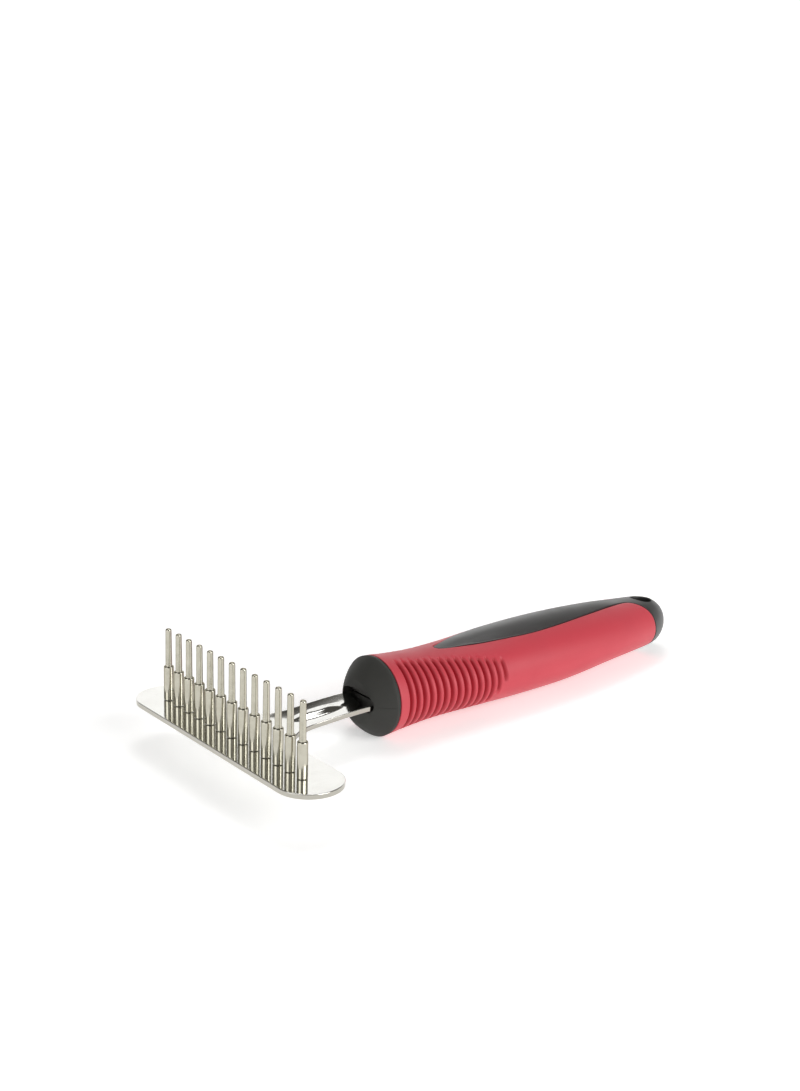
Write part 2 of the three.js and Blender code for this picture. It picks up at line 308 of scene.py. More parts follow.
# The middle of a noise, where most of its values lie.
NOISE_FLOOR, NOISE_CEILING = 0.3, 0.7
NOISE_ROUGHNESS = 0.55
# Width of one band of the Wave texture at scale 1.
WAVE_PERIOD = 0.314


def new_material(
    name: str, turn: float = 0.0
) -> tuple[bpy.types.Material, bpy.types.NodeTree, bpy.types.Node, bpy.types.NodeSocket]:
    """A node material with its shader on the output and coordinates for its patterns.

    Args:
        name: the material's name.
        turn: the comb's rest turn about Y, in radians, so that Z runs along the pins.

    Returns:
        The material, its tree, its shader and the object coordinates in millimetres.
    """
    material = bpy.data.materials.new(name)
    material.use_nodes = True
    tree = material.node_tree
    tree.nodes.clear()
    shader = add_node(tree, "ShaderNodeBsdfPrincipled")
    add_node(tree, "ShaderNodeOutputMaterial", links={"Surface": shader.outputs["BSDF"]})
    coordinates = add_node(tree, "ShaderNodeTexCoord")
    place = add_node(
        tree,
        "ShaderNodeMapping",
        values={"Rotation": (0.0, turn, 0.0), "Scale": (1 / MM, 1 / MM, 1 / MM)},
        links={"Vector": coordinates.outputs["Object"]},
    )
    return material, tree, shader, place.outputs["Vector"]


@dataclass(frozen=True)
class NickelPlatedSheet:
    """Pressed steel sheet, nickel plated and brought to a mirror polish.

    The polish makes it mirror the pins, and the plating is a shade warmer than chrome. The wheel
    leaves slow waves some millimetres long and a haze of hairlines, so that reflections swim a little.
    Faces that stand steep, the edge band and the hole walls, are painted a duller grey than the flat
    faces: painted shade for the darker floor that they mirror.
    """

    colour: str = "#E2E2DF"
    shade: str = "#D5D4CF"
    # Painted shade: the duller grey of the steep faces, the edge band and the hole walls.
    painted_edge_shade: str = "#B9B6AD"
    roughness: tuple[float, float] = (0.05, 0.13)
    wave_size: float = 9.0
    wave_depth: float = 0.012
    hairline_size: float = 0.35
    hairline_depth: float = 0.001
    hairline_stretch: float = 0.08
    edge_slope: tuple[float, float] = (0.25, 0.6)

    def material(self, turn: float) -> bpy.types.Material:
        """Builds the finish.

        Args:
            turn: the comb's rest turn about Y, in radians.

        Returns:
            The material.
        """
        material, tree, shader, place = new_material("nickel_plated_sheet", turn)
        waves = add_node(
            tree,
            "ShaderNodeTexNoise",
            values={"Scale": 1.0 / self.wave_size, "Detail": 1.0, "Roughness": NOISE_ROUGHNESS},
            links={"Vector": place},
        )
        stretched = add_node(
            tree,
            "ShaderNodeMapping",
            values={"Scale": (self.hairline_stretch, 1.0, 1.0)},
            links={"Vector": place},
        )
        lines = add_node(
            tree,
            "ShaderNodeTexNoise",
            values={"Scale": 1.0 / self.hairline_size, "Detail": 4.0, "Roughness": NOISE_ROUGHNESS},
            links={"Vector": stretched.outputs["Vector"]},
        )
        geometry = add_node(tree, "ShaderNodeNewGeometry")
        facing = add_node(tree, "ShaderNodeSeparateXYZ", links={"Vector": geometry.outputs["Normal"]})
        upright = add_node(
            tree,
            "ShaderNodeMath",
            settings={"operation": "ABSOLUTE"},
            links={0: facing.outputs["Z"]},
        )
        # Painted shade: by the world normal, faces steeper than edge_slope take the duller grey instead of
        # the plating's colour.
        steep, flat = self.edge_slope
        flat_facing = add_node(
            tree,
            "ShaderNodeMapRange",
            values={"From Min": steep, "From Max": flat},
            links={"Value": upright.outputs["Value"]},
        )
        face = add_node(
            tree,
            "ShaderNodeMix",
            settings={"data_type": "RGBA"},
            values={MIX_FIRST: linear(self.colour), MIX_SECOND: linear(self.shade)},
            links={MIX_FACTOR: waves.outputs["Fac"]},
        )
        plating = add_node(
            tree,
            "ShaderNodeMix",
            settings={"data_type": "RGBA"},
            values={MIX_FIRST: linear(self.painted_edge_shade)},
            links={MIX_FACTOR: flat_facing.outputs["Result"], MIX_SECOND: face.outputs[MIX_RESULT]},
        )
        low, high = self.roughness
        haze = add_node(
            tree,
            "ShaderNodeMapRange",
            values={"From Min": NOISE_FLOOR, "From Max": NOISE_CEILING, "To Min": low, "To Max": high},
            links={"Value": lines.outputs["Fac"]},
        )
        wavy = add_node(
            tree,
            "ShaderNodeBump",
            values={"Strength": 0.5, "Distance": self.wave_depth * MM},
            links={"Height": waves.outputs["Fac"]},
        )
        lined = add_node(
            tree,
            "ShaderNodeBump",
            values={"Strength": 0.2, "Distance": self.hairline_depth * MM},
            links={"Height": lines.outputs["Fac"], "Normal": wavy.outputs["Normal"]},
        )
        tree.links.new(plating.outputs[MIX_RESULT], shader.inputs["Base Color"])
        tree.links.new(haze.outputs["Result"], shader.inputs["Roughness"])
        tree.links.new(lined.outputs["Normal"], shader.inputs["Normal"])
        shader.inputs["Metallic"].default_value = 1.0
        return material


@dataclass(frozen=True)
class TurnedPlatedSteel:
    """Steel turned on a lathe and plated.

    The tool leaves rings across the pin, which widen the highlights up and down. They are drawn
    0.3 mm apart, a little coarser than a real feed, so that they show at all. The plating dulls
    where it is seen at a grazing angle, which draws a darker line down both sides of a pin.
    """

    colour: str = "#CDCABD"
    shade: str = "#B6B2A2"
    grazing: str = "#6A6450"
    roughness: tuple[float, float] = (0.12, 0.24)
    ring_pitch: float = 0.3
    ring_depth: float = 0.004
    mottle_size: float = 3.0

    def material(self, turn: float) -> bpy.types.Material:
        """Builds the finish.

        Args:
            turn: the comb's rest turn about Y, in radians.

        Returns:
            The material.
        """
        material, tree, shader, place = new_material("turned_plated_steel", turn)
        rings = add_node(
            tree,
            "ShaderNodeTexWave",
            settings={"wave_type": "BANDS", "bands_direction": "Z", "wave_profile": "SIN"},
            values={"Scale": WAVE_PERIOD / self.ring_pitch, "Distortion": 0.6, "Detail": 2.0},
            links={"Vector": place},
        )
        mottle = add_node(
            tree,
            "ShaderNodeTexNoise",
            values={"Scale": 1.0 / self.mottle_size, "Detail": 3.0, "Roughness": NOISE_ROUGHNESS},
            links={"Vector": place},
        )
        plating = add_node(
            tree,
            "ShaderNodeMix",
            settings={"data_type": "RGBA"},
            values={MIX_FIRST: linear(self.colour), MIX_SECOND: linear(self.shade)},
            links={MIX_FACTOR: mottle.outputs["Fac"]},
        )
        low, high = self.roughness
        haze = add_node(
            tree,
            "ShaderNodeMapRange",
            values={"From Min": NOISE_FLOOR, "From Max": NOISE_CEILING, "To Min": low, "To Max": high},
            links={"Value": mottle.outputs["Fac"]},
        )
        ringed = add_node(
            tree,
            "ShaderNodeBump",
            values={"Strength": 0.35, "Distance": self.ring_depth * MM},
            links={"Height": rings.outputs["Fac"]},
        )
        tree.links.new(plating.outputs[MIX_RESULT], shader.inputs["Base Color"])
        tree.links.new(haze.outputs["Result"], shader.inputs["Roughness"])
        tree.links.new(ringed.outputs["Normal"], shader.inputs["Normal"])
        shader.inputs["Specular Tint"].default_value = linear(self.grazing)
        shader.inputs["Metallic"].default_value = 1.0
        return material


@dataclass(frozen=True)
class MouldedPlastic:
    """A moulded polymer skin: a colour with slow variation and a spark-eroded grain.

    The grain breaks up the highlight into a soft sheen, and handling polishes the high places, so
    the roughness wanders over a few millimetres.
    """

    name: str
    colour: str
    shade: str
    roughness: tuple[float, float]
    grain_size: float
    grain_depth: float
    specular: float = 0.5
    sheen: float = 0.0
    sheen_tint: str = "#FFFFFF"
    # Colour of painted shade at the bottoms of grooves, if any.
    valley: Optional[str] = None
    tone_size: float = 14.0

    def material(self, turn: float) -> bpy.types.Material:
        """Builds the finish.

        Args:
            turn: the comb's rest turn about Y, in radians.

        Returns:
            The material.
        """
        material, tree, shader, place = new_material(self.name, turn)
        slow = add_node(
            tree,
            "ShaderNodeTexNoise",
            values={"Scale": 1.0 / self.tone_size, "Detail": 3.0, "Roughness": NOISE_ROUGHNESS},
            links={"Vector": place},
        )
        fine = add_node(
            tree,
            "ShaderNodeTexNoise",
            values={"Scale": 1.0 / self.grain_size, "Detail": 3.0, "Roughness": NOISE_ROUGHNESS},
            links={"Vector": place},
        )
        skin = add_node(
            tree,
            "ShaderNodeMix",
            settings={"data_type": "RGBA"},
            values={MIX_FIRST: linear(self.colour), MIX_SECOND: linear(self.shade)},
            links={MIX_FACTOR: slow.outputs["Fac"]},
        )
        # Painted shade: the skin is mixed towards the valley colour by how deep in a groove each point
        # lies.
        if self.valley:
            depth = add_node(tree, "ShaderNodeAttribute", settings={"attribute_name": GROOVE_ATTRIBUTE})
            skin = add_node(
                tree,
                "ShaderNodeMix",
                settings={"data_type": "RGBA"},
                values={MIX_SECOND: linear(self.valley)},
                links={MIX_FACTOR: depth.outputs["Fac"], MIX_FIRST: skin.outputs[MIX_RESULT]},
            )
        low, high = self.roughness
        haze = add_node(
            tree,
            "ShaderNodeMapRange",
            values={"From Min": NOISE_FLOOR, "From Max": NOISE_CEILING, "To Min": low, "To Max": high},
            links={"Value": slow.outputs["Fac"]},
        )
        grain = add_node(
            tree,
            "ShaderNodeBump",
            values={"Strength": 0.5, "Distance": self.grain_depth * MM},
            links={"Height": fine.outputs["Fac"]},
        )
        tree.links.new(skin.outputs[MIX_RESULT], shader.inputs["Base Color"])
        tree.links.new(haze.outputs["Result"], shader.inputs["Roughness"])
        tree.links.new(grain.outputs["Normal"], shader.inputs["Normal"])
        shader.inputs["Specular IOR Level"].default_value = self.specular
        shader.inputs["Sheen Weight"].default_value = self.sheen
        shader.inputs["Sheen Roughness"].default_value = 0.4
        shader.inputs["Sheen Tint"].default_value = linear(self.sheen_tint)
        return material


# Thermoplastic elastomer shot over the core: a soft satin, with a pink bloom where light grazes it.
# The bottoms of the grooves are painted a deeper red by their depth, as painted shade.
SOFT_GRIP = MouldedPlastic(
    name="red_soft_touch_elastomer",
    colour="#C53E4A",
    shade="#BA3845",
    roughness=(0.42, 0.52),
    grain_size=0.5,
    grain_depth=0.010,
    specular=0.5,
    sheen=0.15,
    sheen_tint="#FFB9BE",
    # Painted shade at the bottoms of the grooves.
    valley="#A00018",
)
# Polypropylene core with an even satin grain, which turns the sky above into a broad grey sheen.
SATIN_CORE = MouldedPlastic(
    name="black_satin_polypropylene",
    colour="#1B1A19",
    shade="#222120",
    roughness=(0.36, 0.46),
    grain_size=0.4,
    grain_depth=0.006,
    specular=1.0,
)
# Nose collar from a matt, slightly chalky compound that shows only a dull glow on its dome.
MATT_COLLAR = MouldedPlastic(
    name="black_matt_elastomer",
    colour="#282825",
    shade="#30302D",
    roughness=(0.58, 0.72),
    grain_size=0.45,
    grain_depth=0.012,
    specular=0.4,
)


@dataclass(frozen=True)
class StudioPaper:
    """White seamless paper lit from behind, so that shadows on it stay pale.

    It is nearly even, with a faint fibre tone that only shows in shadow.
    """

    colour: str = "#F4F4F4"
    shade: str = "#EEEEEE"
    fibre_size: float = 30.0
    glow: float = 0.47

    def material(self) -> bpy.types.Material:
        """Builds the finish.

        Returns:
            The material.
        """
        material, tree, shader, place = new_material("seamless_paper")
        fibres = add_node(
            tree,
            "ShaderNodeTexNoise",
            values={"Scale": 1.0 / self.fibre_size, "Detail": 4.0, "Roughness": NOISE_ROUGHNESS},
            links={"Vector": place},
        )
        tone = add_node(
            tree,
            "ShaderNodeMix",
            settings={"data_type": "RGBA"},
            values={MIX_FIRST: linear(self.colour), MIX_SECOND: linear(self.shade)},
            links={MIX_FACTOR: fibres.outputs["Fac"]},
        )
        tree.links.new(tone.outputs[MIX_RESULT], shader.inputs["Base Color"])
        tree.links.new(tone.outputs[MIX_RESULT], shader.inputs["Emission Color"])
        shader.inputs["Emission Strength"].default_value = self.glow
        shader.inputs["Roughness"].default_value = 0.9
        shader.inputs["Specular IOR Level"].default_value = 0.1
        return material


# ---------------------------------------------------------------- the handle


@dataclass(frozen=True)
class HandleForm:
    """The outer form of the handle: ovals along X, closed by a rounded tail.

    Each row of sections is X, half width, half height and height of the middle.
    """

    sections: tuple[tuple[float, float, float, float], ...] = (
        (44, 13.5, 13.2, 0.8),
        (51, 13.3, 12.9, 1.5),
        (60, 13.1, 11.9, 1.7),
        (70, 13.7, 11.0, 1.9),
        (84, 14.9, 10.8, 2.2),
        (105, 15.8, 11.4, 3.0),
        (126, 15.9, 11.2, 3.7),
        (147, 14.6, 9.8, 4.6),
        (168, 11.3, 8.6, 4.7),
        (182, 8.4, 7.8, 4.8),
    )
    tail_end: float = 179.8
    wide_round_start: float = 165.4
    tall_round_start: float = 170.6

    def interpolate(self, x: np.ndarray) -> np.ndarray:
        """Half width, half height and middle at x: a cubic through the sections.

        The slope at a section is the mean of the slopes on either side, and each stretch is the
        Hermite cubic with those slopes.

        Args:
            x: any shape.

        Returns:
            That shape with a last axis of 3.
        """
        table = np.array(self.sections, float)
        stops, values = table[:, 0], table[:, 1:]
        steps = np.diff(stops)[:, None]
        secants = np.diff(values, axis=0) / steps
        slopes = np.concatenate((secants[:1], (secants[:-1] + secants[1:]) / 2, secants[-1:]))
        index = np.clip(np.searchsorted(stops, x, side="right") - 1, 0, len(stops) - 2)
        step = steps[index]
        t = ((np.asarray(x, float) - stops[index])[..., None]) / step
        before = (1 + 2 * t) * (1 - t) ** 2 * values[index] + t * (1 - t) ** 2 * step * slopes[index]
        after = t * t * (3 - 2 * t) * values[index + 1] + t * t * (t - 1) * step * slopes[index + 1]
        return before + after

    def round_off(self, x: np.ndarray, start: float) -> np.ndarray:
        """What is left of the section where a quarter ellipse closes the tail."""
        part = np.clip((np.asarray(x, float) - start) / (self.tail_end - start), 0.0, 1.0)
        return np.sqrt(1.0 - part * part)

    def oval(self, x: np.ndarray) -> tuple[np.ndarray, np.ndarray, np.ndarray]:
        """Half width, half height and height of the middle at x, with the tail rounded off.

        Args:
            x: places along the handle.

        Returns:
            The three measures, each shaped like x.
        """
        wide, tall, middle = np.moveaxis(self.interpolate(x), -1, 0)
        wide = wide * self.round_off(x, self.wide_round_start)
        tall = tall * self.round_off(x, self.tall_round_start)
        return wide, tall, middle

    def skin(
        self, x: np.ndarray, angle: np.ndarray, fraction: Any = 1.0, outset: Any = 0.0
    ) -> np.ndarray:
        """Points on the handle's oval, a fraction of its size and an amount further out.

        Args:
            x: position along the handle.
            angle: radians from the crest, positive towards +Y.
            fraction: of the full oval.
            outset: millimetres added to both half axes.

        Returns:
            Points with a last axis of 3.
        """
        x, angle = np.broadcast_arrays(np.asarray(x, float), np.asarray(angle, float))
        wide, tall, middle = self.oval(x)
        across = np.maximum(wide * fraction + outset, 0.0) * np.sin(angle)
        up = middle + np.maximum(tall * fraction + outset, 0.0) * np.cos(angle)
        return np.stack((x, across, up), axis=-1)


@dataclass(frozen=True)
class Leaf:
    """The leaf-shaped window of the core in the top of the grip, seen from above.

    The outline is X and half width. Behind its tip the leaf drifts a little towards +Y of the
    handle's middle.
    """

    outline: tuple[tuple[float, float], ...] = (
        (76, 0),
        (77.4, 1.5),
        (84, 3.6),
        (95, 6.9),
        (110, 8.7),
        (125, 8.3),
        (141, 6.3),
        (153, 4.3),
        (159.5, 3.5),
        (163, 4.7),
        (166, 8.7),
        (167.2, 13.5),
    )
    drift: float = 1.5
    drift_span: tuple[float, float] = (76.0, 98.0)
    back: float = 167.2
    crown: float = 0.6
    crown_angle: float = 32.0
    crown_span: tuple[float, float] = (78.0, 160.0)
    crown_fade: float = 12.0

    @property
    def tip(self) -> float:
        """Where the leaf starts."""
        return self.outline[0][0]

    def half_width(self, x: np.ndarray, grow: float = 0.0) -> np.ndarray:
        """Half the leaf's width at x: a Catmull-Rom curve through the outline's points.

        Args:
            x: position along the handle.
            grow: millimetres added inside the leaf's length.

        Returns:
            Half widths, 0 in front of the tip.
        """
        points = np.array(self.outline, float)
        padded = np.concatenate((points[:1], points, points[-1:]))
        t = np.linspace(0.0, 1.0, 40)[None, :, None]
        a, b, c, d = (padded[i : i + len(points) - 1, None, :] for i in range(4))
        first, second = (c - a) / 2, (d - b) / 2
        curve = (
            (2 * b - 2 * c + first + second) * t**3
            + (-3 * b + 3 * c - 2 * first - second) * t**2
            + first * t
            + b
        ).reshape(-1, 2)
        order = np.maximum.accumulate(curve[:, 0])
        half = np.interp(x, order, np.maximum(curve[:, 1], 0.0), left=0.0, right=curve[-1, 1])
        return np.where(x > self.tip, half + grow, 0.0)

    def edges(self, form: "HandleForm", x: np.ndarray, half: np.ndarray) -> tuple[np.ndarray, ...]:
        """The leaf's two edges and its middle line as angles from the handle's crest.

        Args:
            form: the handle's form.
            x: stations.
            half: the leaf's half width at each.

        Returns:
            The angle of the +Y edge, of the -Y edge and of the middle line.
        """
        wide = np.maximum(form.oval(x)[0], 1e-6)
        centre = self.drift * smoothstep(x, *self.drift_span)
        places = (centre + half, centre - half, centre)
        return tuple(np.arcsin(np.clip(place / wide, -1.0, 1.0)) for place in places)

    def crown_rise(self, x: np.ndarray, angle: np.ndarray) -> np.ndarray:
        """How far the leaf stands proud of the oval: most along its crest, nothing at its ends.

        Args:
            x: places along the handle.
            angle: angles round the handle from its crest, in radians.

        Returns:
            The rise in millimetres.
        """
        start, end = self.crown_span
        along = smoothstep(x, start, start + self.crown_fade)
        along = along * (1 - smoothstep(x, end - self.crown_fade, end))
        side = 1 - smoothstep(np.abs(np.degrees(angle)), 0.0, self.crown_angle)
        return self.crown * along * side


def arc_scale(form: HandleForm, x: np.ndarray, angle: np.ndarray) -> np.ndarray:
    """Millimetres along the skin for each radian of angle."""
    wide, tall, _ = form.oval(x)
    return np.maximum(np.hypot(wide * np.cos(angle), tall * np.sin(angle)), 0.5)


def from_edge(start: np.ndarray, end: float, steps: np.ndarray, count: int) -> np.ndarray:
    """Angles from an edge to a far angle: first at the given steps from it, then evenly.

    Args:
        start: the edge's angle at each station.
        end: the far angle.
        steps: (stations, n) angles past the edge, rising from 0.
        count: how many angles follow them.

    Returns:
        (stations, n + count) angles.
    """
    near = start[:, None] + steps
    rest = np.linspace(0.0, 1.0, count + 1)[None, 1:]
    return np.concatenate((near, near[:, -1:] + (end - near[:, -1:]) * rest), axis=1)


@dataclass
class RedGrip:
    """The soft sleeve over the core: ribbed flanks, and an opening for the leaf."""

    form: HandleForm
    leaf: Leaf
    front: float = 53.0
    wall: float = 2.4
    seam: float = 0.16
    lip: float = 0.5
    groove_count: int = 15
    groove_first: float = 57.2
    groove_step: float = 2.62
    groove_depth: float = 1.4
    groove_width: float = 0.8
    groove_top: float = 18.0
    groove_top_drop: float = 34.0
    groove_top_bend: float = 1.8
    groove_bottom: float = 150.0
    groove_fade: float = 7.0
    groove_shortened: int = 3
    groove_shortening: float = 60.0
    groove_shallowing: float = 0.2

    def stations(self) -> np.ndarray:
        """Stations along X: fine over the grooves and at both ends, wider between.

        Returns:
            The places, in rising order.
        """
        last = self.groove_first + self.groove_count * self.groove_step
        end = self.leaf.back - self.seam
        turn = np.linspace(0.0, math.pi / 2, 6)
        return np.concatenate((
            self.front + self.lip * (1 - np.cos(turn)),
            np.arange(self.front + self.lip + 0.3, last, self.groove_step / 16),
            np.arange(last + 0.6, 158.0, 1.1),
            np.arange(158.2, end - self.lip - 0.1, 0.35),
            end - self.lip * (1 - np.sin(turn)),
        ))

    def groove(self, x: np.ndarray, angle: np.ndarray) -> np.ndarray:
        """Depth of the cross grooves, which leave rounded ribs between them.

        Across a groove the skin falls as a squared sine from each rib to the bottom, and round
        the handle the groove ends in quarter sines. Each groove starts lower down the flank than
        the one in front of it, and the last ones are shorter and shallower.

        Args:
            x: position along the handle.
            angle: radians from the crest.

        Returns:
            Millimetres below the oval.
        """
        index = np.round((x - self.groove_first) / self.groove_step)
        there = (index >= 0) & (index < self.groove_count)
        off = np.abs(x - self.groove_first - index * self.groove_step) / (self.groove_step / 2)
        closeness = np.clip(1 - off / self.groove_width, 0.0, 1.0)
        valley = np.sin(closeness * math.pi / 2) ** 2
        shorter = np.clip(index - (self.groove_count - 1 - self.groove_shortened), 0, None)
        shorter = shorter / self.groove_shortened
        degrees = np.abs((np.degrees(angle) + 180) % 360 - 180)
        along = np.clip(index / (self.groove_count - 1), 0, 1)
        top = self.groove_top + self.groove_top_drop * along**self.groove_top_bend
        bottom = self.groove_bottom - self.groove_shortening * shorter
        entry = np.clip((degrees - top) / self.groove_fade, 0, 1)
        leave = np.clip((bottom - degrees) / self.groove_fade, 0, 1)
        fade = np.sin(entry * math.pi / 2) * np.sin(leave * math.pi / 2)
        depth = self.groove_depth * (1 - self.groove_shallowing * shorter)
        return np.where(there, depth * valley * fade, 0.0)

    def build(self, comb: CombFrame) -> bpy.types.Object:
        """Makes the sleeve: an outer and an inner skin, joined at its ends and along the opening.

        Every station's section is a C that starts and ends at the leaf's edges. In front of the
        leaf the C is closed, and its two ends are welded.

        Args:
            comb: the working frame.

        Returns:
            The piece.
        """
        x = self.stations()
        half = self.leaf.half_width(x, self.seam)
        far, near, _ = self.leaf.edges(self.form, x, half)
        lips = np.array([0.0, 0.04, 0.1, 0.18, 0.28, 0.4, 0.52, 0.75])
        far_scale = arc_scale(self.form, x, far)[:, None]
        near_scale = arc_scale(self.form, x, near)[:, None]
        far_side = from_edge(far, math.pi, lips / far_scale, 42)
        near_side = from_edge(-near, math.pi, lips / near_scale, 42)
        angle = np.concatenate((far_side, 2 * math.pi - near_side[:, -2::-1]), axis=1)
        opening = smoothstep(half, 0.0, 1.2)[:, None]
        from_far = (angle - angle[:, :1]) * far_scale
        from_near = (angle[:, -1:] - angle) * near_scale
        stations = x[:, None]
        drop = rounded(np.minimum(from_far, from_near), self.lip) * opening
        drop = drop + rounded(self.leaf.back - self.seam - stations, self.lip)
        drop = drop + rounded(stations - self.front, self.lip * 0.6)
        outer = self.form.skin(stations, angle, outset=-drop - self.groove(stations, angle))
        inner = self.form.skin(stations, angle, outset=-self.wall)
        piece = make_object("grip_sleeve_moulded", self.close(outer, inner, x), comb)
        self.mark_grooves(piece.data, comb)
        return piece

    def mark_grooves(self, mesh: bpy.types.Mesh, comb: CombFrame) -> None:
        """Stores how deep in a groove each point lies, from 0 to 1; the finish reads it to paint shade
        into the grooves.

        Args:
            mesh: the sleeve's mesh, which gains the attribute.
            comb: the working frame.
        """
        corners = np.empty(len(mesh.vertices) * 3, np.float32)
        mesh.vertices.foreach_get("co", corners)
        x, y, z = comb.local(corners.reshape(-1, 3)).T
        wide, tall, middle = self.form.oval(x)
        depth = self.groove(x, np.arctan2(y / wide, (z - middle) / tall)) / self.groove_depth
        store = mesh.attributes.new(GROOVE_ATTRIBUTE, "FLOAT", "POINT")
        store.data.foreach_set("value", depth.astype(np.float32))

    def close(self, outer: np.ndarray, inner: np.ndarray, x: np.ndarray) -> Shell:
        """Joins the two skins at the front, the back and the leaf's edge.

        Args:
            outer: (stations, angles, 3) points.
            inner: the same on the inside.
            x: stations.

        Returns:
            The closed surface.
        """
        rows, columns = outer.shape[:2]
        inside = rows * columns
        skins = grid_faces(rows, columns, False)
        number = np.arange(inside).reshape(rows, columns)
        ends = []
        for row in (0, rows - 1):
            a, b = number[row, :-1], number[row, 1:]
            ends.append(np.stack((a, b, b + inside, a + inside), axis=-1))
        open_rows = np.flatnonzero(x[1:] > self.leaf.tip)
        for column in (0, columns - 1):
            a, b = number[open_rows, column], number[open_rows + 1, column]
            ends.append(np.stack((a, b, b + inside, a + inside), axis=-1))
        points = np.concatenate((outer.reshape(-1, 3), inner.reshape(-1, 3)))
        return Shell(points, [skins, skins + inside, *ends])

    def dress(self, piece: bpy.types.Object, turn: float) -> None:
        """Gives the sleeve its finish and its place in the frame."""
        material = SOFT_GRIP.material(turn)
        finish_piece(piece, material, HANDLE_BODY, Slot.RED_SOFT_GRIP, "grip_sleeve")


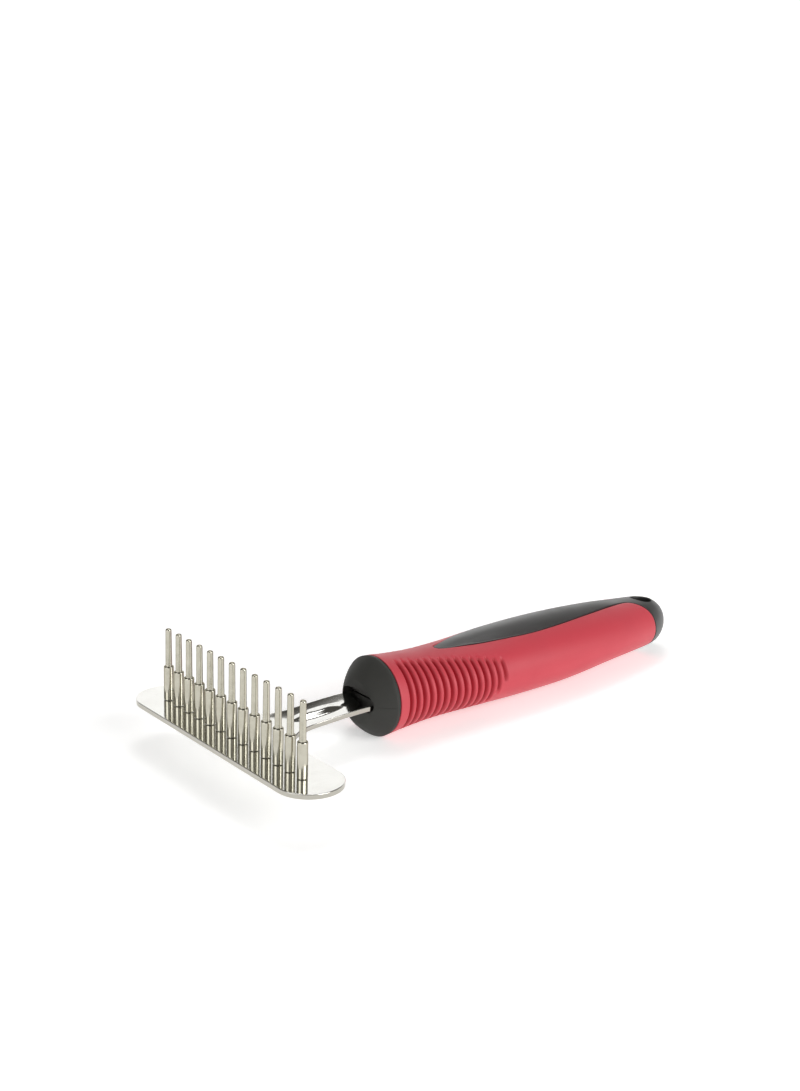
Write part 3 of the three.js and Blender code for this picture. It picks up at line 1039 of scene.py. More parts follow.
@dataclass
class BlackCore:
    """The core: a hidden bar with a nose, the leaf that fills the grip's opening, and the tail."""

    form: HandleForm
    leaf: Leaf
    nose_front: float = 49.3
    nose_back: float = 54.0
    nose_half: tuple[float, float] = (9.7, 8.9)
    nose_middle: float = 1.5
    sunk: float = 2.7
    lip: float = 0.3
    hole_x: float = 170.4
    hole_radius: float = 3.7
    hole_lip: float = 0.55
    slot_level: float = 1.7
    slot_width: float = 15.0
    slot_height: float = 2.2
    slot_end: float = 104.3

    def stations(self) -> np.ndarray:
        """Stations along X, close together at the leaf's tip, at its back and round the tail.

        Returns:
            The places, in rising order.
        """
        back = self.leaf.back
        turn = np.linspace(0.0, math.pi / 2, 34)
        return np.concatenate((
            np.array([self.nose_front, self.nose_front + 0.15, self.nose_front + 0.5]),
            np.array([51.5, self.nose_back - 0.05, self.nose_back + 0.05]),
            np.linspace(56.0, 75.0, 10),
            np.arange(self.leaf.tip - 0.3, 82.0, 0.2),
            np.arange(82.5, 158.0, 0.8),
            np.arange(158.2, back - 1.0, 0.3),
            np.arange(back - 0.9, back - 0.35, 0.1),
            back - 0.3 + np.array([0.0, 0.1, 0.2, 0.26, 0.3, 0.34, 0.38, 0.44, 0.52, 0.6, 0.7]),
            back + 0.6 + (self.form.tail_end - 0.004 - back - 0.6) * np.sin(turn),
        ))

    def build(self, comb: CombFrame) -> bpy.types.Object:
        """Makes the core as one loft whose skin comes up to the surface inside the leaf and tail.

        A point's depth depends on its distance from the black area's edge: outside the edge it
        lies under the grip, inside it rises over a rounded lip.

        Args:
            comb: the working frame.

        Returns:
            The piece, with the hang hole and the tang's slot cut.
        """
        x = self.stations()
        half = self.leaf.half_width(x)
        far, near, middle = self.leaf.edges(self.form, x, half)
        far_scale = arc_scale(self.form, x, far)[:, None]
        near_scale = arc_scale(self.form, x, near)[:, None]
        far_side = self.across_edge(far - middle, math.pi - middle, far_scale)
        near_side = self.across_edge(middle - near, math.pi + middle, near_scale)
        angle = middle[:, None] + np.concatenate((far_side, 2 * math.pi - near_side[:, -2:0:-1]), axis=1)
        stations = x[:, None]
        turn = (angle + math.pi) % (2 * math.pi) - math.pi
        inside = np.minimum((far[:, None] - turn) * far_scale, (turn - near[:, None]) * near_scale)
        inside = np.where(stations > self.leaf.tip, inside, -1.0)
        inside = np.maximum(inside, stations - self.leaf.back)
        shown = smoothstep(inside, -0.02, 0.0)
        opening = smoothstep(half, 0.0, 1.2)[:, None]
        fall = rounded(np.clip(inside, 0, None), self.lip) * opening
        raised = self.leaf.crown_rise(stations, turn) - fall
        outset = shown * raised - (1 - shown) * self.sunk
        points = self.form.skin(stations, angle, outset=outset)
        points = np.where((stations < self.nose_back)[..., None], self.nose(x, angle), points)
        piece = make_object("handle_core_moulded", loft(points), comb)
        cut(piece, self.hang_hole_cutter(comb))
        cut(piece, self.slot_cutter(comb))
        return piece

    def across_edge(self, edge: np.ndarray, end: np.ndarray, scale: np.ndarray) -> np.ndarray:
        """Angles from the leaf's middle line to the underside, crowded together over its edge.

        Args:
            edge: the edge's angle from the middle line at each station.
            end: the underside's angle from it.
            scale: millimetres of skin for each radian.

        Returns:
            (stations, angles), rising along each row.
        """
        lips = np.array([-0.9, -0.55, -0.4, -0.3, -0.22, -0.14, -0.07, -0.02, 0.0, 0.02, 0.3])
        near = edge[:, None] + lips[None, :] / scale
        before = near[:, :1] * np.linspace(0.0, 1.0, 26)[None, :-1]
        after = near[:, -1:] + (end[:, None] - near[:, -1:]) * np.linspace(0.0, 1.0, 41)[None, 1:]
        side = np.concatenate((before, near, after), axis=1)
        return np.sort(np.clip(side, 0.0, end[:, None]), axis=1)

    def nose(self, x: np.ndarray, angle: np.ndarray) -> np.ndarray:
        """The oval bar that fills the collar's bore, with a slightly rounded front edge.

        Args:
            x: places along the handle.
            angle: angles round the handle from its crest, in radians.

        Returns:
            Points shaped like angle.
        """
        fall = rounded(x - self.nose_front, 0.5)[:, None]
        across = (self.nose_half[0] - fall) * np.sin(angle)
        up = self.nose_middle + (self.nose_half[1] - fall) * np.cos(angle)
        return np.stack((np.broadcast_to(x[:, None], angle.shape), across, up), axis=-1)

    def hang_hole_cutter(self, comb: CombFrame) -> bpy.types.Object:
        """The hole through the tail, flared into a rounded lip where it meets each face.

        Going round the hole, each rim follows the height of the handle's oval at that point, and
        the flare is a quarter circle from the wall out to the skin.

        Args:
            comb: the working frame.

        Returns:
            The cutter.
        """
        around = np.linspace(0.0, 2 * math.pi, 97)[None, :-1]
        turn = np.linspace(0.0, math.pi / 2, 9)[:, None]
        flare = self.hole_radius + self.hole_lip * (1 - np.cos(turn))
        x = self.hole_x + self.hole_radius * np.cos(around)
        y = self.hole_radius * np.sin(around)
        wide, tall, middle = self.form.oval(x)
        reach = tall * np.sqrt(1 - np.clip(y / wide, -1, 1) ** 2)
        rows = []
        for sign in (-1.0, 1.0):
            rim = middle + sign * (reach - self.hole_lip * (1 - np.sin(turn)))
            skin = np.stack((
                self.hole_x + flare * np.cos(around),
                flare * np.sin(around),
                rim,
            ), axis=-1)
            above = skin[-1:] + np.array([0.0, 0.0, sign * 6.0])
            rows.append(np.concatenate((above, skin[::-1])) if sign < 0 else np.concatenate((skin, above)))
        return make_object("hang_hole_cutter", loft(np.concatenate(rows)), comb)

    def slot_cutter(self, comb: CombFrame) -> bpy.types.Object:
        """The slot that the tang lies in, open at the nose.

        Args:
            comb: the working frame.

        Returns:
            The cutter.
        """
        roof = self.slot_level + 0.3
        floor = self.slot_level - self.slot_height + 0.3
        low = np.array([self.nose_front - 1, -self.slot_width / 2, floor])
        high = np.array([self.slot_end, self.slot_width / 2, roof])
        corner = np.array([(0, 0), (1, 0), (1, 1), (0, 1)])
        across = low[1] + (high[1] - low[1]) * corner[:, 0]
        up = low[2] + (high[2] - low[2]) * corner[:, 1]
        rings = np.stack([
            np.stack((np.full(4, place), across, up), axis=-1) for place in (low[0], high[0])
        ])
        return make_object("tang_slot_cutter", loft(rings), comb)

    def dress(self, piece: bpy.types.Object, turn: float) -> None:
        """Gives the core its finish and its place in the frame."""
        material = SATIN_CORE.material(turn)
        finish_piece(piece, material, HANDLE_BODY, Slot.BLACK_CORE, "handle_core")


@dataclass
class NoseCollar:
    """The matt ring at the front of the handle: a flat face, a soft dome and an oval mouth."""

    form: HandleForm
    front: float = 45.6
    full_at: float = 51.5
    back: float = 52.7
    face_fraction: float = 0.56
    power: float = 1.15
    mouth_half: tuple[float, float] = (8.0, 3.1)
    mouth_squareness: float = 0.75
    mouth_middle: float = 1.7
    mouth_depth: float = 3.4
    mouth_lip: float = 0.45
    bore_half: tuple[float, float] = (10.0, 9.2)
    face_lip: float = 0.35
    parting_depth: float = 0.12
    parting_width: float = 0.14
    sides: int = 144

    def oval_ring(self, x: float, half: tuple[float, float], middle: float) -> np.ndarray:
        """One ring of points on an upright oval.

        Args:
            x: its place along the handle.
            half: its half width and half height.
            middle: the height of its centre.

        Returns:
            (n, 3) points.
        """
        angle = self.angles()
        across = half[0] * np.sin(angle)
        up = middle + half[1] * np.cos(angle)
        return np.stack((np.full(len(angle), x), across, up), axis=-1)

    def angles(self) -> np.ndarray:
        """Angles round the collar from the crest, closer together over the parting line.

        Returns:
            The angles in radians, in rising order.
        """
        even = np.linspace(0.0, 2 * math.pi, self.sides + 1)[:-1]
        fine = np.radians(np.arange(-3.5, 3.6, 0.5))
        return np.unique(np.concatenate((even, math.pi / 2 + fine, 3 * math.pi / 2 + fine)).round(6))

    def build(self, comb: CombFrame) -> bpy.types.Object:
        """Makes the collar: face, dome and bore as one surface, with the mouth cut through it.

        The dome is a superellipse of the given power between the flat face and the full oval. The
        mould's parting line runs round it as a hair-fine groove, level with the mouth's middle.

        Args:
            comb: the working frame.

        Returns:
            The piece.
        """
        angle = self.angles()
        deep = self.front + self.mouth_depth
        rows = [
            self.form.skin(
                self.front, angle, fraction=self.face_fraction * part, outset=-self.face_lip * part
            )
            for part in (0.02, 0.3, 0.6, 0.85, 0.95, 1.0)
        ]
        for turn in np.linspace(0.0, math.pi / 2, 56)[1:]:
            x = self.full_at - (self.full_at - self.front) * math.cos(turn)
            left = (self.full_at - x) / (self.full_at - self.front)
            swell = (1 - left**self.power) ** (1 / self.power)
            fraction = self.face_fraction + (1 - self.face_fraction) * swell
            near = self.face_lip * math.exp(-(x - self.front) / 0.35)
            rows.append(self.form.skin(x, angle, fraction=fraction, outset=-near))
        for turn in np.linspace(0.0, math.pi / 2, 5)[1:]:
            x = self.back - 0.25 * (1 - math.sin(turn))
            rows.append(self.form.skin(x, angle, outset=-0.25 * (1 - math.cos(turn))))
        rings = np.stack(rows)
        off = (rings[..., 2] - self.mouth_middle) / self.parting_width
        groove = self.parting_depth * np.exp(-off * off)
        side = np.sign(rings[..., 1])
        rings[..., 1] -= side * groove
        rings[..., 0] += 0.6 * groove
        bore_middle = float(self.form.oval(np.array(self.back))[2])
        inner = [self.oval_ring(x, self.bore_half, bore_middle) for x in (self.back, deep)]
        piece = make_object("front_collar_moulded", loft(np.concatenate((rings, np.stack(inner)))), comb)
        cut(piece, self.mouth_cutter(comb))
        return piece

    def dome_front(self, y: np.ndarray, z: np.ndarray) -> np.ndarray:
        """Where along X the collar's front lies at a place across it: the dome's formula turned round.

        Args:
            y: places across.
            z: heights.

        Returns:
            The places along X.
        """
        wide, tall, middle = self.form.oval(np.array(self.front + 1.0))
        fraction = np.hypot(y / wide, (z - middle) / tall)
        swell = np.clip((fraction - self.face_fraction) / (1 - self.face_fraction), 0.0, 1.0)
        left = (1 - swell**self.power) ** (1 / self.power)
        return self.full_at - (self.full_at - self.front) * left

    def mouth_cutter(self, comb: CombFrame) -> bpy.types.Object:
        """The mouth: an oval bore whose rim flares in a quarter circle out to the dome.

        Args:
            comb: the working frame.

        Returns:
            The cutter.
        """
        around = np.linspace(0.0, 2 * math.pi, 129)[:-1]
        half_y, half_z = self.mouth_half
        across = np.sign(np.sin(around)) * np.abs(np.sin(around)) ** self.mouth_squareness
        up = np.sign(np.cos(around)) * np.abs(np.cos(around)) ** self.mouth_squareness
        deep = self.front + self.mouth_depth + 0.5
        rim = self.dome_front(half_y * across, self.mouth_middle + half_z * up)
        rings = []
        for turn in np.linspace(0.0, math.pi / 2, 9):
            grown = self.mouth_lip * (1 - math.cos(turn))
            x = rim + self.mouth_lip * (1 - math.sin(turn))
            y = (half_y + grown) * across
            rings.append(np.stack((x, y, self.mouth_middle + (half_z + grown) * up), axis=-1))
        first = rings[0].copy()
        first[:, 0] = deep
        last = rings[-1] - np.array([4.0, 0.0, 0.0])
        return make_object("mouth_cutter", loft(np.stack([first, *rings, last])), comb)

    def dress(self, piece: bpy.types.Object, turn: float) -> None:
        """Gives the collar its finish and its place in the frame."""
        material = MATT_COLLAR.material(turn)
        finish_piece(piece, material, HANDLE_BODY, Slot.BLACK_COLLAR, "front_collar")


# ---------------------------------------------------------------- the head


@dataclass
class HeadStamping:
    """The plated sheet: stadium head, flared root, neck with its pressed rib, and the tang."""

    length: float = 95.8
    width: float = 20.6
    centre: float = 1.0
    thickness: float = 1.6
    edge: float = 0.22
    neck_half: float = 7.2
    flare_end: float = 25.5
    flare_reach: float = 12.0
    rise: float = 1.7
    rise_span: tuple[float, float] = (9.0, 45.0)
    rib_span: tuple[float, float] = (20.0, 42.0)
    rib_half: float = 3.3
    rib_height: float = 1.0
    channel: float = 0.45
    tang_half: float = 6.0
    tang_span: tuple[float, float] = (52.0, 104.0)
    tang_corner: float = 2.0
    tang_holes: tuple[float, float] = (64.0, 92.0)
    tang_hole_radius: float = 1.8
    bore: float = 1.2
    sink: float = 1.7
    sink_depth: float = 0.8
    pin_places: tuple[float, ...] = field(default_factory=tuple)

    def height(self, x: np.ndarray, y: np.ndarray) -> np.ndarray:
        """Height of the top face: a smooth rise along the neck, a shallow channel and the rib.

        The channel is a parabola across the neck that keeps the edges' height. The rib is a long
        oval plateau whose sides fall as a smoothstep of the oval's radius.

        Args:
            x: along the comb.
            y: across it.

        Returns:
            Millimetres above the head's flat top.
        """
        start, end = self.rib_span
        radius = np.hypot((x - (start + end) / 2) / ((end - start) / 2), y / self.rib_half)
        rib = self.rib_height * (1 - smoothstep(radius, 0.25, 1.0))
        inside = np.clip(1 - (y / self.neck_half) ** 2, 0.0, 1.0)
        channel = self.channel * inside * smoothstep(x, 12.0, 24.0) * (1 - smoothstep(x, 42.0, 50.0))
        return self.rise * smoothstep(x, *self.rise_span) + rib - channel

    def outline(self) -> np.ndarray:
        """The stamping's edge seen from above, once round, as arcs, curves and straight runs.

        Returns:
            (n, 2) points.
        """
        radius = self.width / 2
        reach = self.length / 2 - radius
        back = self.centre + radius
        half, spread = self.neck_half, self.neck_half + self.flare_reach
        t = np.linspace(0.0, 1.0, 40)[:, None]
        handles = (
            (back, spread),
            (back, half + self.flare_reach / 3),
            ((back + self.flare_end) / 2, half),
            (self.flare_end, half),
        )
        a, b, c, d = (np.array(point) for point in handles)
        flare = a * (1 - t) ** 3 + 3 * b * t * (1 - t) ** 2 + 3 * c * t**2 * (1 - t) + d * t**3
        turn = np.linspace(math.pi, 0.0, 61)[:, None]
        round_end = (self.centre + radius * np.cos(turn), reach + radius * np.sin(turn))
        end_arc = np.concatenate(round_end, axis=1)
        neck_x = np.arange(self.flare_end + 0.8, self.tang_span[0] - self.tang_corner, 0.8)[:, None]
        neck = np.concatenate((neck_x, np.full_like(neck_x, half)), axis=1)
        start, end = self.tang_span
        tang = np.array([
            (start - self.tang_corner, half),
            (start, self.tang_half),
            (end - self.tang_corner, self.tang_half),
            (end, self.tang_half - self.tang_corner),
        ])
        front_y = np.arange(0.0, reach, 2.0)[:, None]
        front = np.concatenate((np.full_like(front_y, self.centre - radius), front_y), axis=1)
        side = np.concatenate((front, end_arc, flare, neck, tang))
        mirrored = side[:0:-1] * np.array([1.0, -1.0])
        loop = np.concatenate((side, mirrored))
        keep = np.linalg.norm(loop - np.roll(loop, 1, axis=0), axis=1) > 1e-3
        return loop[keep]

    @staticmethod
    def inset(loop: np.ndarray, amount: float) -> np.ndarray:
        """A clockwise loop moved outwards by an amount, along the mean normal of each two edges.

        Args:
            loop: (n, 2) points.
            amount: how far, in millimetres.

        Returns:
            The moved points.
        """
        edge = np.roll(loop, -1, axis=0) - loop
        normal = np.stack((-edge[:, 1], edge[:, 0]), axis=-1)
        normal /= np.linalg.norm(normal, axis=1, keepdims=True)
        mean = normal + np.roll(normal, 1, axis=0)
        mean /= np.maximum((mean * np.roll(normal, 1, axis=0)).sum(axis=1, keepdims=True), 0.4)
        return loop + mean * amount

    def ring(self, x: float, y: float, radius: float, count: int = 40) -> np.ndarray:
        """A circle of points round a hole."""
        turn = np.linspace(0.0, 2 * math.pi, count + 1)[:-1]
        return np.stack((x + radius * np.cos(turn), y + radius * np.sin(turn)), axis=-1)

    def holes(self) -> list[tuple[float, float, float, float]]:
        """Each hole's place, its radius on top and its radius on the underside.

        Returns:
            X, Y and the two radii of each hole.
        """
        pins = [(0.0, y, self.bore, self.sink) for y in self.pin_places]
        tang = [(x, 0.0, self.tang_hole_radius, self.tang_hole_radius) for x in self.tang_holes]
        return [*pins, *tang]

    def infill(self) -> np.ndarray:
        """Points inside the neck, close enough to carry its curves.

        Returns:
            (n, 2) points.
        """
        x, y = np.meshgrid(np.arange(9.5, 51.0, 0.65), np.arange(-6.5, 6.6, 0.5), indexing="ij")
        y = y + 0.25 * (np.arange(x.shape[0])[:, None] % 2) - 0.125
        return np.stack((x.ravel(), y.ravel()), axis=-1)

    def face(self, loops: list[np.ndarray], extra: np.ndarray, holes: np.ndarray) -> tuple:
        """Triangles of the flat region inside the first loop and outside the holes.

        Args:
            loops: the outline and then the rims of the holes.
            extra: further points inside.
            holes: (n, 3) centres and radii that triangles must keep out of.

        Returns:
            The points and the triangles.
        """
        points = [Vector(point) for loop in loops for point in loop] + [Vector(point) for point in extra]
        edges, first = [], 0
        for loop in loops:
            edges += [(first + i, first + (i + 1) % len(loop)) for i in range(len(loop))]
            first += len(loop)
        result = delaunay_2d_cdt(points, edges, [], 1, 1e-6)
        flat = np.array([tuple(point) for point in result[0]])
        triangles = np.array(result[2])
        middle = flat[triangles].mean(axis=1)
        away = np.linalg.norm(middle[:, None, :] - holes[None, :, :2], axis=2)
        return flat, triangles[(away > holes[None, :, 2] * 0.98).all(axis=1)]

    def build(self, comb: CombFrame) -> bpy.types.Object:
        """Makes the sheet from two flat faces bent to their height, a rolled rim and hole walls.

        Args:
            comb: the working frame.

        Returns:
            The piece.
        """
        outline = self.outline()
        inner = self.inset(outline, -self.edge)
        support = self.inset(outline, -self.edge - 0.2)
        within = self.infill()
        shell: Optional[Shell] = None
        for is_top in (True, False):
            rims = [self.ring(x, y, top if is_top else low) for x, y, top, low in self.holes()]
            near = [self.ring(x, y, (top if is_top else low) + 0.25) for x, y, top, low in self.holes()]
            circles = np.array([(x, y, top if is_top else low) for x, y, top, low in self.holes()])
            extra = np.concatenate((support, within, *near))
            flat, triangles = self.face([inner, *rims], extra, circles)
            level = self.height(flat[:, 0], flat[:, 1]) - (0.0 if is_top else self.thickness)
            part = Shell(np.column_stack((flat, level)), [triangles])
            shell = part if shell is None else shell.joined(part)
        shell = shell.joined(self.rim(outline))
        for x, y, top, low in self.holes():
            shell = shell.joined(self.hole_wall(x, y, top, low))
        return make_object("head_plate_pressed", shell, comb)

    def rim(self, outline: np.ndarray) -> Shell:
        """The edge of the sheet: a quarter circle, a straight land and a quarter circle.

        Args:
            outline: the stamping's edge from above.

        Returns:
            The edge's surface.
        """
        turn = np.linspace(0.0, math.pi / 2, 7)
        rows = []
        for angle in turn:
            rows.append((self.edge * (1 - math.sin(angle)), self.edge * (1 - math.cos(angle))))
        rows += [(inwards, self.thickness - depth) for inwards, depth in reversed(rows)]
        rings = []
        for inwards, depth in rows:
            loop = self.inset(outline, -inwards)
            source = self.inset(outline, -self.edge)
            level = self.height(source[:, 0], source[:, 1]) - depth
            rings.append(np.column_stack((loop, level)))
        count = len(outline)
        return Shell(np.concatenate(rings), [grid_faces(len(rings), count, True)])

    def hole_wall(self, x: float, y: float, top: float, low: float) -> Shell:
        """The wall of one hole, with a countersink below where its lower radius is larger.

        Args:
            x: its place along the comb.
            y: its place across.
            top: its radius on top.
            low: its radius on the underside.

        Returns:
            The wall's surface.
        """
        depths = [(top, 0.0), (top, self.thickness - self.sink_depth), (low, self.thickness)]
        rings = []
        for radius, depth in depths:
            loop = self.ring(x, y, radius)
            level = self.height(loop[:, 0], loop[:, 1]) - depth
            rings.append(np.column_stack((loop, level)))
        return Shell(np.concatenate(rings), [grid_faces(len(rings), len(rings[0]), True)])

    def dress(self, piece: bpy.types.Object, turn: float) -> None:
        """Gives the sheet its finish and its place in the frame."""
        material = NickelPlatedSheet().material(turn)
        finish_piece(piece, material, HANDLE_BODY, Slot.PLATED_SHEET, "head_plate")


@dataclass
class PinRow:
    """The thirteen stepped pins, each turned from steel and free to turn in its hole."""

    places: tuple[float, ...]
    sheet: float = 1.6
    height: float = 23.0
    shoulder: float = 11.0
    thick: float = 1.57
    thin: float = 1.02
    tip: float = 0.93
    stem: float = 1.0
    foot: float = 1.5
    foot_rise: float = 0.6
    seat: float = 0.12
    edge: float = 0.36
    sides: int = 48

    def profile(self) -> np.ndarray:
        """Radius and height from the foot to the tip, with the shoulder and the tip rounded.

        Returns:
            (n, 2) radii and heights.
        """
        bottom = -self.sheet + 0.03
        turn = np.linspace(0.0, math.pi / 2, 7)
        shoulder = np.column_stack((
            self.thick - self.edge * (1 - np.cos(turn)),
            self.shoulder - self.edge * (1 - np.sin(turn)),
        ))
        crown = 0.45
        tip = np.column_stack((
            self.tip - crown * (1 - np.cos(turn)),
            self.height - crown * (1 - np.sin(turn)),
        ))
        stage = np.array([
            (1e-4, bottom),
            (self.foot - 0.1, bottom),
            (self.foot, bottom + 0.1),
            (self.stem, bottom + self.foot_rise),
            (self.stem, self.seat),
            (self.thick - 0.12, self.seat),
            (self.thick, self.seat + 0.12),
        ])
        fillet = np.array([
            (self.thin + 0.12, self.shoulder),
            (self.thin + 0.03, self.shoulder + 0.03),
            (self.thin, self.shoulder + 0.12),
        ])
        return np.concatenate((stage, shoulder, fillet, tip, [(1e-4, self.height)]))

    def build(self, comb: CombFrame) -> list[bpy.types.Object]:
        """Makes one lathe-turned pin per place.

        Args:
            comb: the working frame.

        Returns:
            The pieces, in the order of their places.
        """
        profile = self.profile()
        turn = np.linspace(0.0, 2 * math.pi, self.sides + 1)[None, :-1]
        radius, level = profile[:, :1], profile[:, 1:]
        pieces = []
        for number, y in enumerate(self.places, start=1):
            rings = np.stack((
                radius * np.cos(turn),
                y + radius * np.sin(turn),
                np.broadcast_to(level, (len(profile), self.sides)),
            ), axis=-1)
            pieces.append(make_object(f"pin_{number:02d}_turned", loft(rings), comb))
        return pieces

    def dress(self, pieces: list[bpy.types.Object], turn: float) -> None:
        """Gives each pin its finish, and ties it to its own turning body.

        Args:
            pieces: the pins in order.
            turn: the comb's rest turn about Y, in radians.
        """
        material = TurnedPlatedSteel().material(turn)
        for number, piece in enumerate(pieces, start=1):
            node = f"pin_{number:02d}"
            finish_piece(piece, material, f"{node}_body", Slot.PIN_STEEL, node)


@dataclass
class TangPins:
    """The two plain cross pins that hold the tang inside the core."""

    places: dict[str, float]
    radius: float = 1.5
    bottom: float = -5.0
    top: float = 8.0
    chamfer: float = 0.2
    sides: int = 32

    def build(self, comb: CombFrame) -> dict[str, bpy.types.Object]:
        """Makes a chamfered pin for each place.

        Args:
            comb: the working frame.

        Returns:
            The pieces by the names of their CAD nodes.
        """
        profile = np.array([
            (self.radius - self.chamfer, self.bottom),
            (self.radius, self.bottom + self.chamfer),
            (self.radius, self.top - self.chamfer),
            (self.radius - self.chamfer, self.top),
        ])
        turn = np.linspace(0.0, 2 * math.pi, self.sides + 1)[None, :-1]
        pieces = {}
        for node, x in self.places.items():
            rings = np.stack((
                x + profile[:, :1] * np.cos(turn),
                profile[:, :1] * np.sin(turn),
                np.broadcast_to(profile[:, 1:], (len(profile), self.sides)),
            ), axis=-1)
            pieces[node] = make_object(f"{node}_steel", loft(rings), comb)
        return pieces

    def dress(self, pieces: dict[str, bpy.types.Object], turn: float) -> None:
        """Gives the cross pins their finish and their place in the frame.

        Args:
            pieces: the cross pins by node.
            turn: the comb's rest turn about Y, in radians.
        """
        material = TurnedPlatedSteel().material(turn)
        for node, piece in pieces.items():
            finish_piece(piece, material, HANDLE_BODY, Slot.PIN_STEEL, node)


# ---------------------------------------------------------------- the studio


@dataclass(frozen=True)
class SoftBox:
    """A square lamp for the comb.

    Its place and its aim are metres from the comb: ahead, to the right and up, as the camera looks.
    """

    name: str
    place: tuple[float, float, float]
    aim: tuple[float, float, float]
    size: float
    power: float


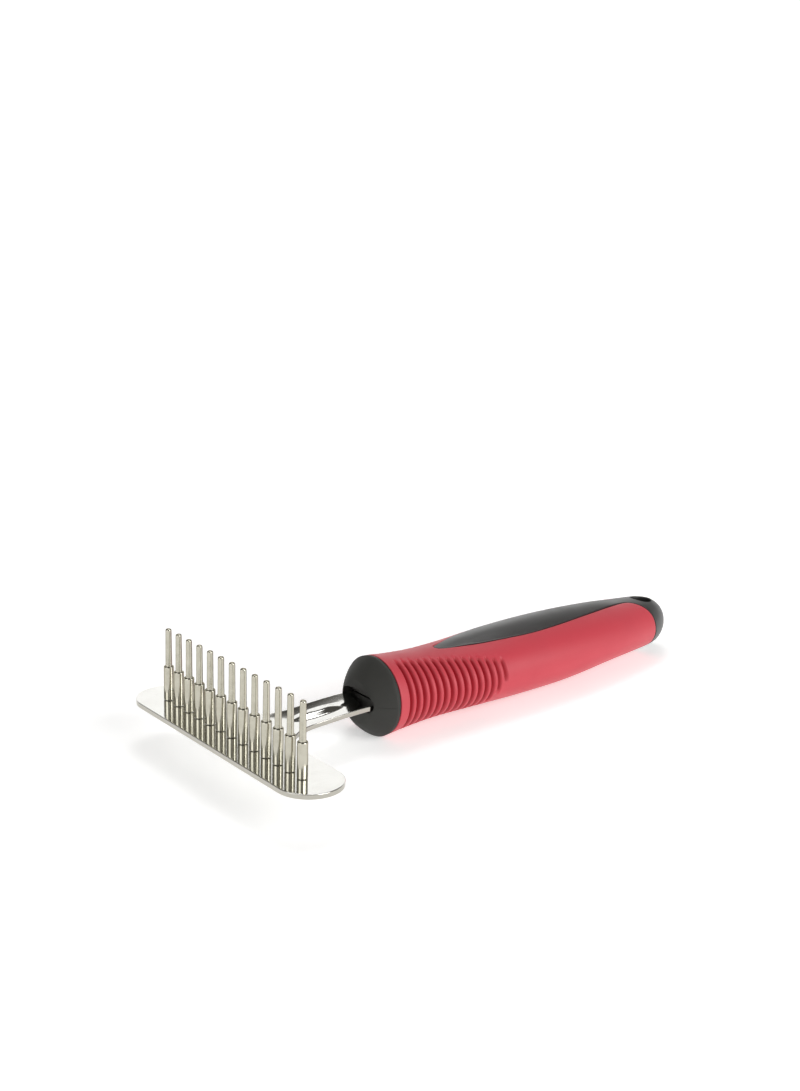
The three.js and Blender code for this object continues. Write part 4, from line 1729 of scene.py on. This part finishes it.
@dataclass
class Studio:
    """A white sweep of paper, soft lights round it and the camera."""

    eye: tuple[float, float, float] = (-241.63, -379.08, 186.89)
    azimuth: float = 51.41
    elevation: float = 15.88
    roll: float = 1.73
    lens: float = 54.12
    sweep_width: float = 5.0
    sweep_front: float = -1.6
    sweep_back: float = 1.1
    sweep_radius: float = 0.7
    sweep_height: float = 0.9
    boxes: tuple[SoftBox, ...] = (
        SoftBox("left_box", (-0.9, -0.9, 0.55), (0.0, 0.0, 0.02), 0.9, 5.0),
        SoftBox("right_box", (-0.8, 1.0, 0.6), (0.0, 0.0, 0.02), 0.9, 12.5),
        SoftBox("back_box", (0.65, 0.0, 1.2), (0.0, 0.0, 0.02), 0.5, 4.0),
        SoftBox("paper_box", (0.4, 0.0, 1.2), (1.9, 0.0, 0.3), 1.2, 6.0),
    )
    room_tones: tuple[tuple[float, str], ...] = ((0.30, "#E6E5E2"), (0.55, "#5A5854"))
    room_strength: float = 0.8

    def camera(self, comb: CombFrame) -> bpy.types.Object:
        """Makes the camera: it stands in front of the head, to the side and a little above.

        Args:
            comb: the working frame.

        Returns:
            The camera, which is also made the scene's own.
        """
        azimuth, elevation, roll = (math.radians(v) for v in (self.azimuth, self.elevation, self.roll))
        back = np.array((
            -math.cos(elevation) * math.cos(azimuth),
            -math.cos(elevation) * math.sin(azimuth),
            math.sin(elevation),
        ))
        right = np.array((math.sin(azimuth), -math.cos(azimuth), 0.0))
        up = np.cross(back, right)
        tilted_right = math.cos(roll) * right + math.sin(roll) * up
        tilted_up = math.cos(roll) * up - math.sin(roll) * right
        data = bpy.data.cameras.new("camera")
        data.lens = self.lens
        data.sensor_width = 36.0
        data.clip_start = 0.01
        camera = bpy.data.objects.new("camera", data)
        bpy.context.scene.collection.objects.link(camera)
        axes = Matrix([comb.turn(axis) for axis in (tilted_right, tilted_up, back)]).transposed()
        place = Matrix.Translation(Vector(comb.place(np.array(self.eye))))
        camera.matrix_world = place @ axes.to_4x4()
        bpy.context.scene.camera = camera
        return camera

    def sweep(self, toward: Vector) -> bpy.types.Object:
        """The floor, curved up behind the comb as paper hung from a roll.

        Its section is a straight floor, a quarter circle and a straight wall, carried across.

        Args:
            toward: the level direction in which the camera looks.

        Returns:
            The floor.
        """
        turn = np.linspace(0.0, math.pi / 2, 33)
        curve = np.column_stack((
            self.sweep_back + self.sweep_radius * np.sin(turn),
            self.sweep_radius * (1 - np.cos(turn)),
        ))
        section = np.concatenate((
            [(self.sweep_front, 0.0)],
            curve,
            [(self.sweep_back + self.sweep_radius, self.sweep_height)],
        ))
        level = np.array((toward.x, toward.y, 0.0))
        level /= np.linalg.norm(level)
        side = np.cross((0.0, 0.0, 1.0), level)
        across = np.array((-0.5, 0.5)) * self.sweep_width
        points = (
            section[:, None, :1] * level
            + section[:, None, 1:] * np.array((0.0, 0.0, 1.0))
            + across[None, :, None] * side
        )
        mesh = bpy.data.meshes.new("paper_sweep")
        faces = grid_faces(len(section), 2, False)[:, ::-1]
        mesh.from_pydata(points.reshape(-1, 3), [], faces.tolist())
        mesh.shade_smooth()
        mesh.materials.append(StudioPaper().material())
        floor = bpy.data.objects.new("paper_sweep", mesh)
        bpy.context.scene.collection.objects.link(floor)
        return floor

    def light(self, box: SoftBox, toward: Vector) -> None:
        """Adds one soft box.

        Args:
            box: the soft box.
            toward: the level direction in which the camera looks.
        """
        side = Vector((toward.y, -toward.x, 0.0))
        up = Vector((0.0, 0.0, 1.0))
        place, aim = (
            ahead * toward + right * side + high * up for ahead, right, high in (box.place, box.aim)
        )
        data = bpy.data.lights.new(box.name, "AREA")
        data.shape = "SQUARE"
        data.size = box.size
        data.energy = box.power
        light = bpy.data.objects.new(box.name, data)
        light.location = place
        light.rotation_euler = (aim - place).to_track_quat("-Z", "Y").to_euler()
        bpy.context.scene.collection.objects.link(light)

    def surroundings(self) -> None:
        """The room: pale round the level of the comb and a dark ceiling above it."""
        world = bpy.data.worlds.new("dark_ceiling")
        bpy.context.scene.world = world
        world.use_nodes = True
        tree = world.node_tree
        tree.nodes.clear()
        direction = add_node(tree, "ShaderNodeTexCoord")
        height = add_node(tree, "ShaderNodeSeparateXYZ", links={"Vector": direction.outputs["Generated"]})
        ramp = add_node(tree, "ShaderNodeValToRGB", links={"Fac": height.outputs["Z"]})
        for element, (position, colour) in zip(ramp.color_ramp.elements, self.room_tones):
            element.position = position
            element.color = linear(colour)
        background = add_node(
            tree,
            "ShaderNodeBackground",
            values={"Strength": self.room_strength},
            links={"Color": ramp.outputs["Color"]},
        )
        add_node(tree, "ShaderNodeOutputWorld", links={"Surface": background.outputs["Background"]})

    def build(self, comb: CombFrame) -> None:
        """Sets up the camera, the paper and the lights.

        Args:
            comb: the working frame.
        """
        camera = self.camera(comb)
        view = -camera.matrix_world.col[2].to_3d()
        toward = Vector((view.x, view.y, 0.0)).normalized()
        self.sweep(toward)
        for box in self.boxes:
            self.light(box, toward)
        self.surroundings()
        bpy.context.scene.view_settings.view_transform = "Standard"


# ---------------------------------------------------------------- the whole comb


def pin_places(comb: CombFrame, joints: list[dict[str, Any]]) -> tuple[float, ...]:
    """The pins' places across the head, from their joints, in the comb's millimetres.

    Args:
        comb: the working frame.
        joints: the frame's joints, one for each pin.

    Returns:
        The places, in the order of the pins.
    """
    named = sorted(joints, key=lambda joint: joint["name"])
    feet = comb.local([joint["pos_m"] for joint in named])
    return tuple(round(float(foot[1]), 4) for foot in feet)


def main() -> None:
    """Builds the comb piece by piece in its frame, then the studio."""
    logging.basicConfig(level=logging.INFO, format="%(message)s")
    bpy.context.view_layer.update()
    joints = frame["joints"]
    middle = next(joint for joint in joints if joint["name"] == "pin_07_turn")
    comb = CombFrame.from_joint(middle)
    turn = -math.atan2(comb.axes[2][0], comb.axes[2][2])
    places = pin_places(comb, joints)
    form, leaf = HandleForm(), Leaf()

    head = HeadStamping(pin_places=places)
    head.dress(head.build(comb), turn)
    pins = PinRow(places=places, sheet=head.thickness)
    pins.dress(pins.build(comb), turn)
    cross = TangPins(places=dict(zip(("tang_pin_front", "tang_pin_rear"), head.tang_holes)))
    cross.dress(cross.build(comb), turn)
    for part in (NoseCollar(form), BlackCore(form, leaf), RedGrip(form, leaf)):
        part.dress(part.build(comb), turn)

    Studio().build(comb)


if __name__ == "__main__":
    main()
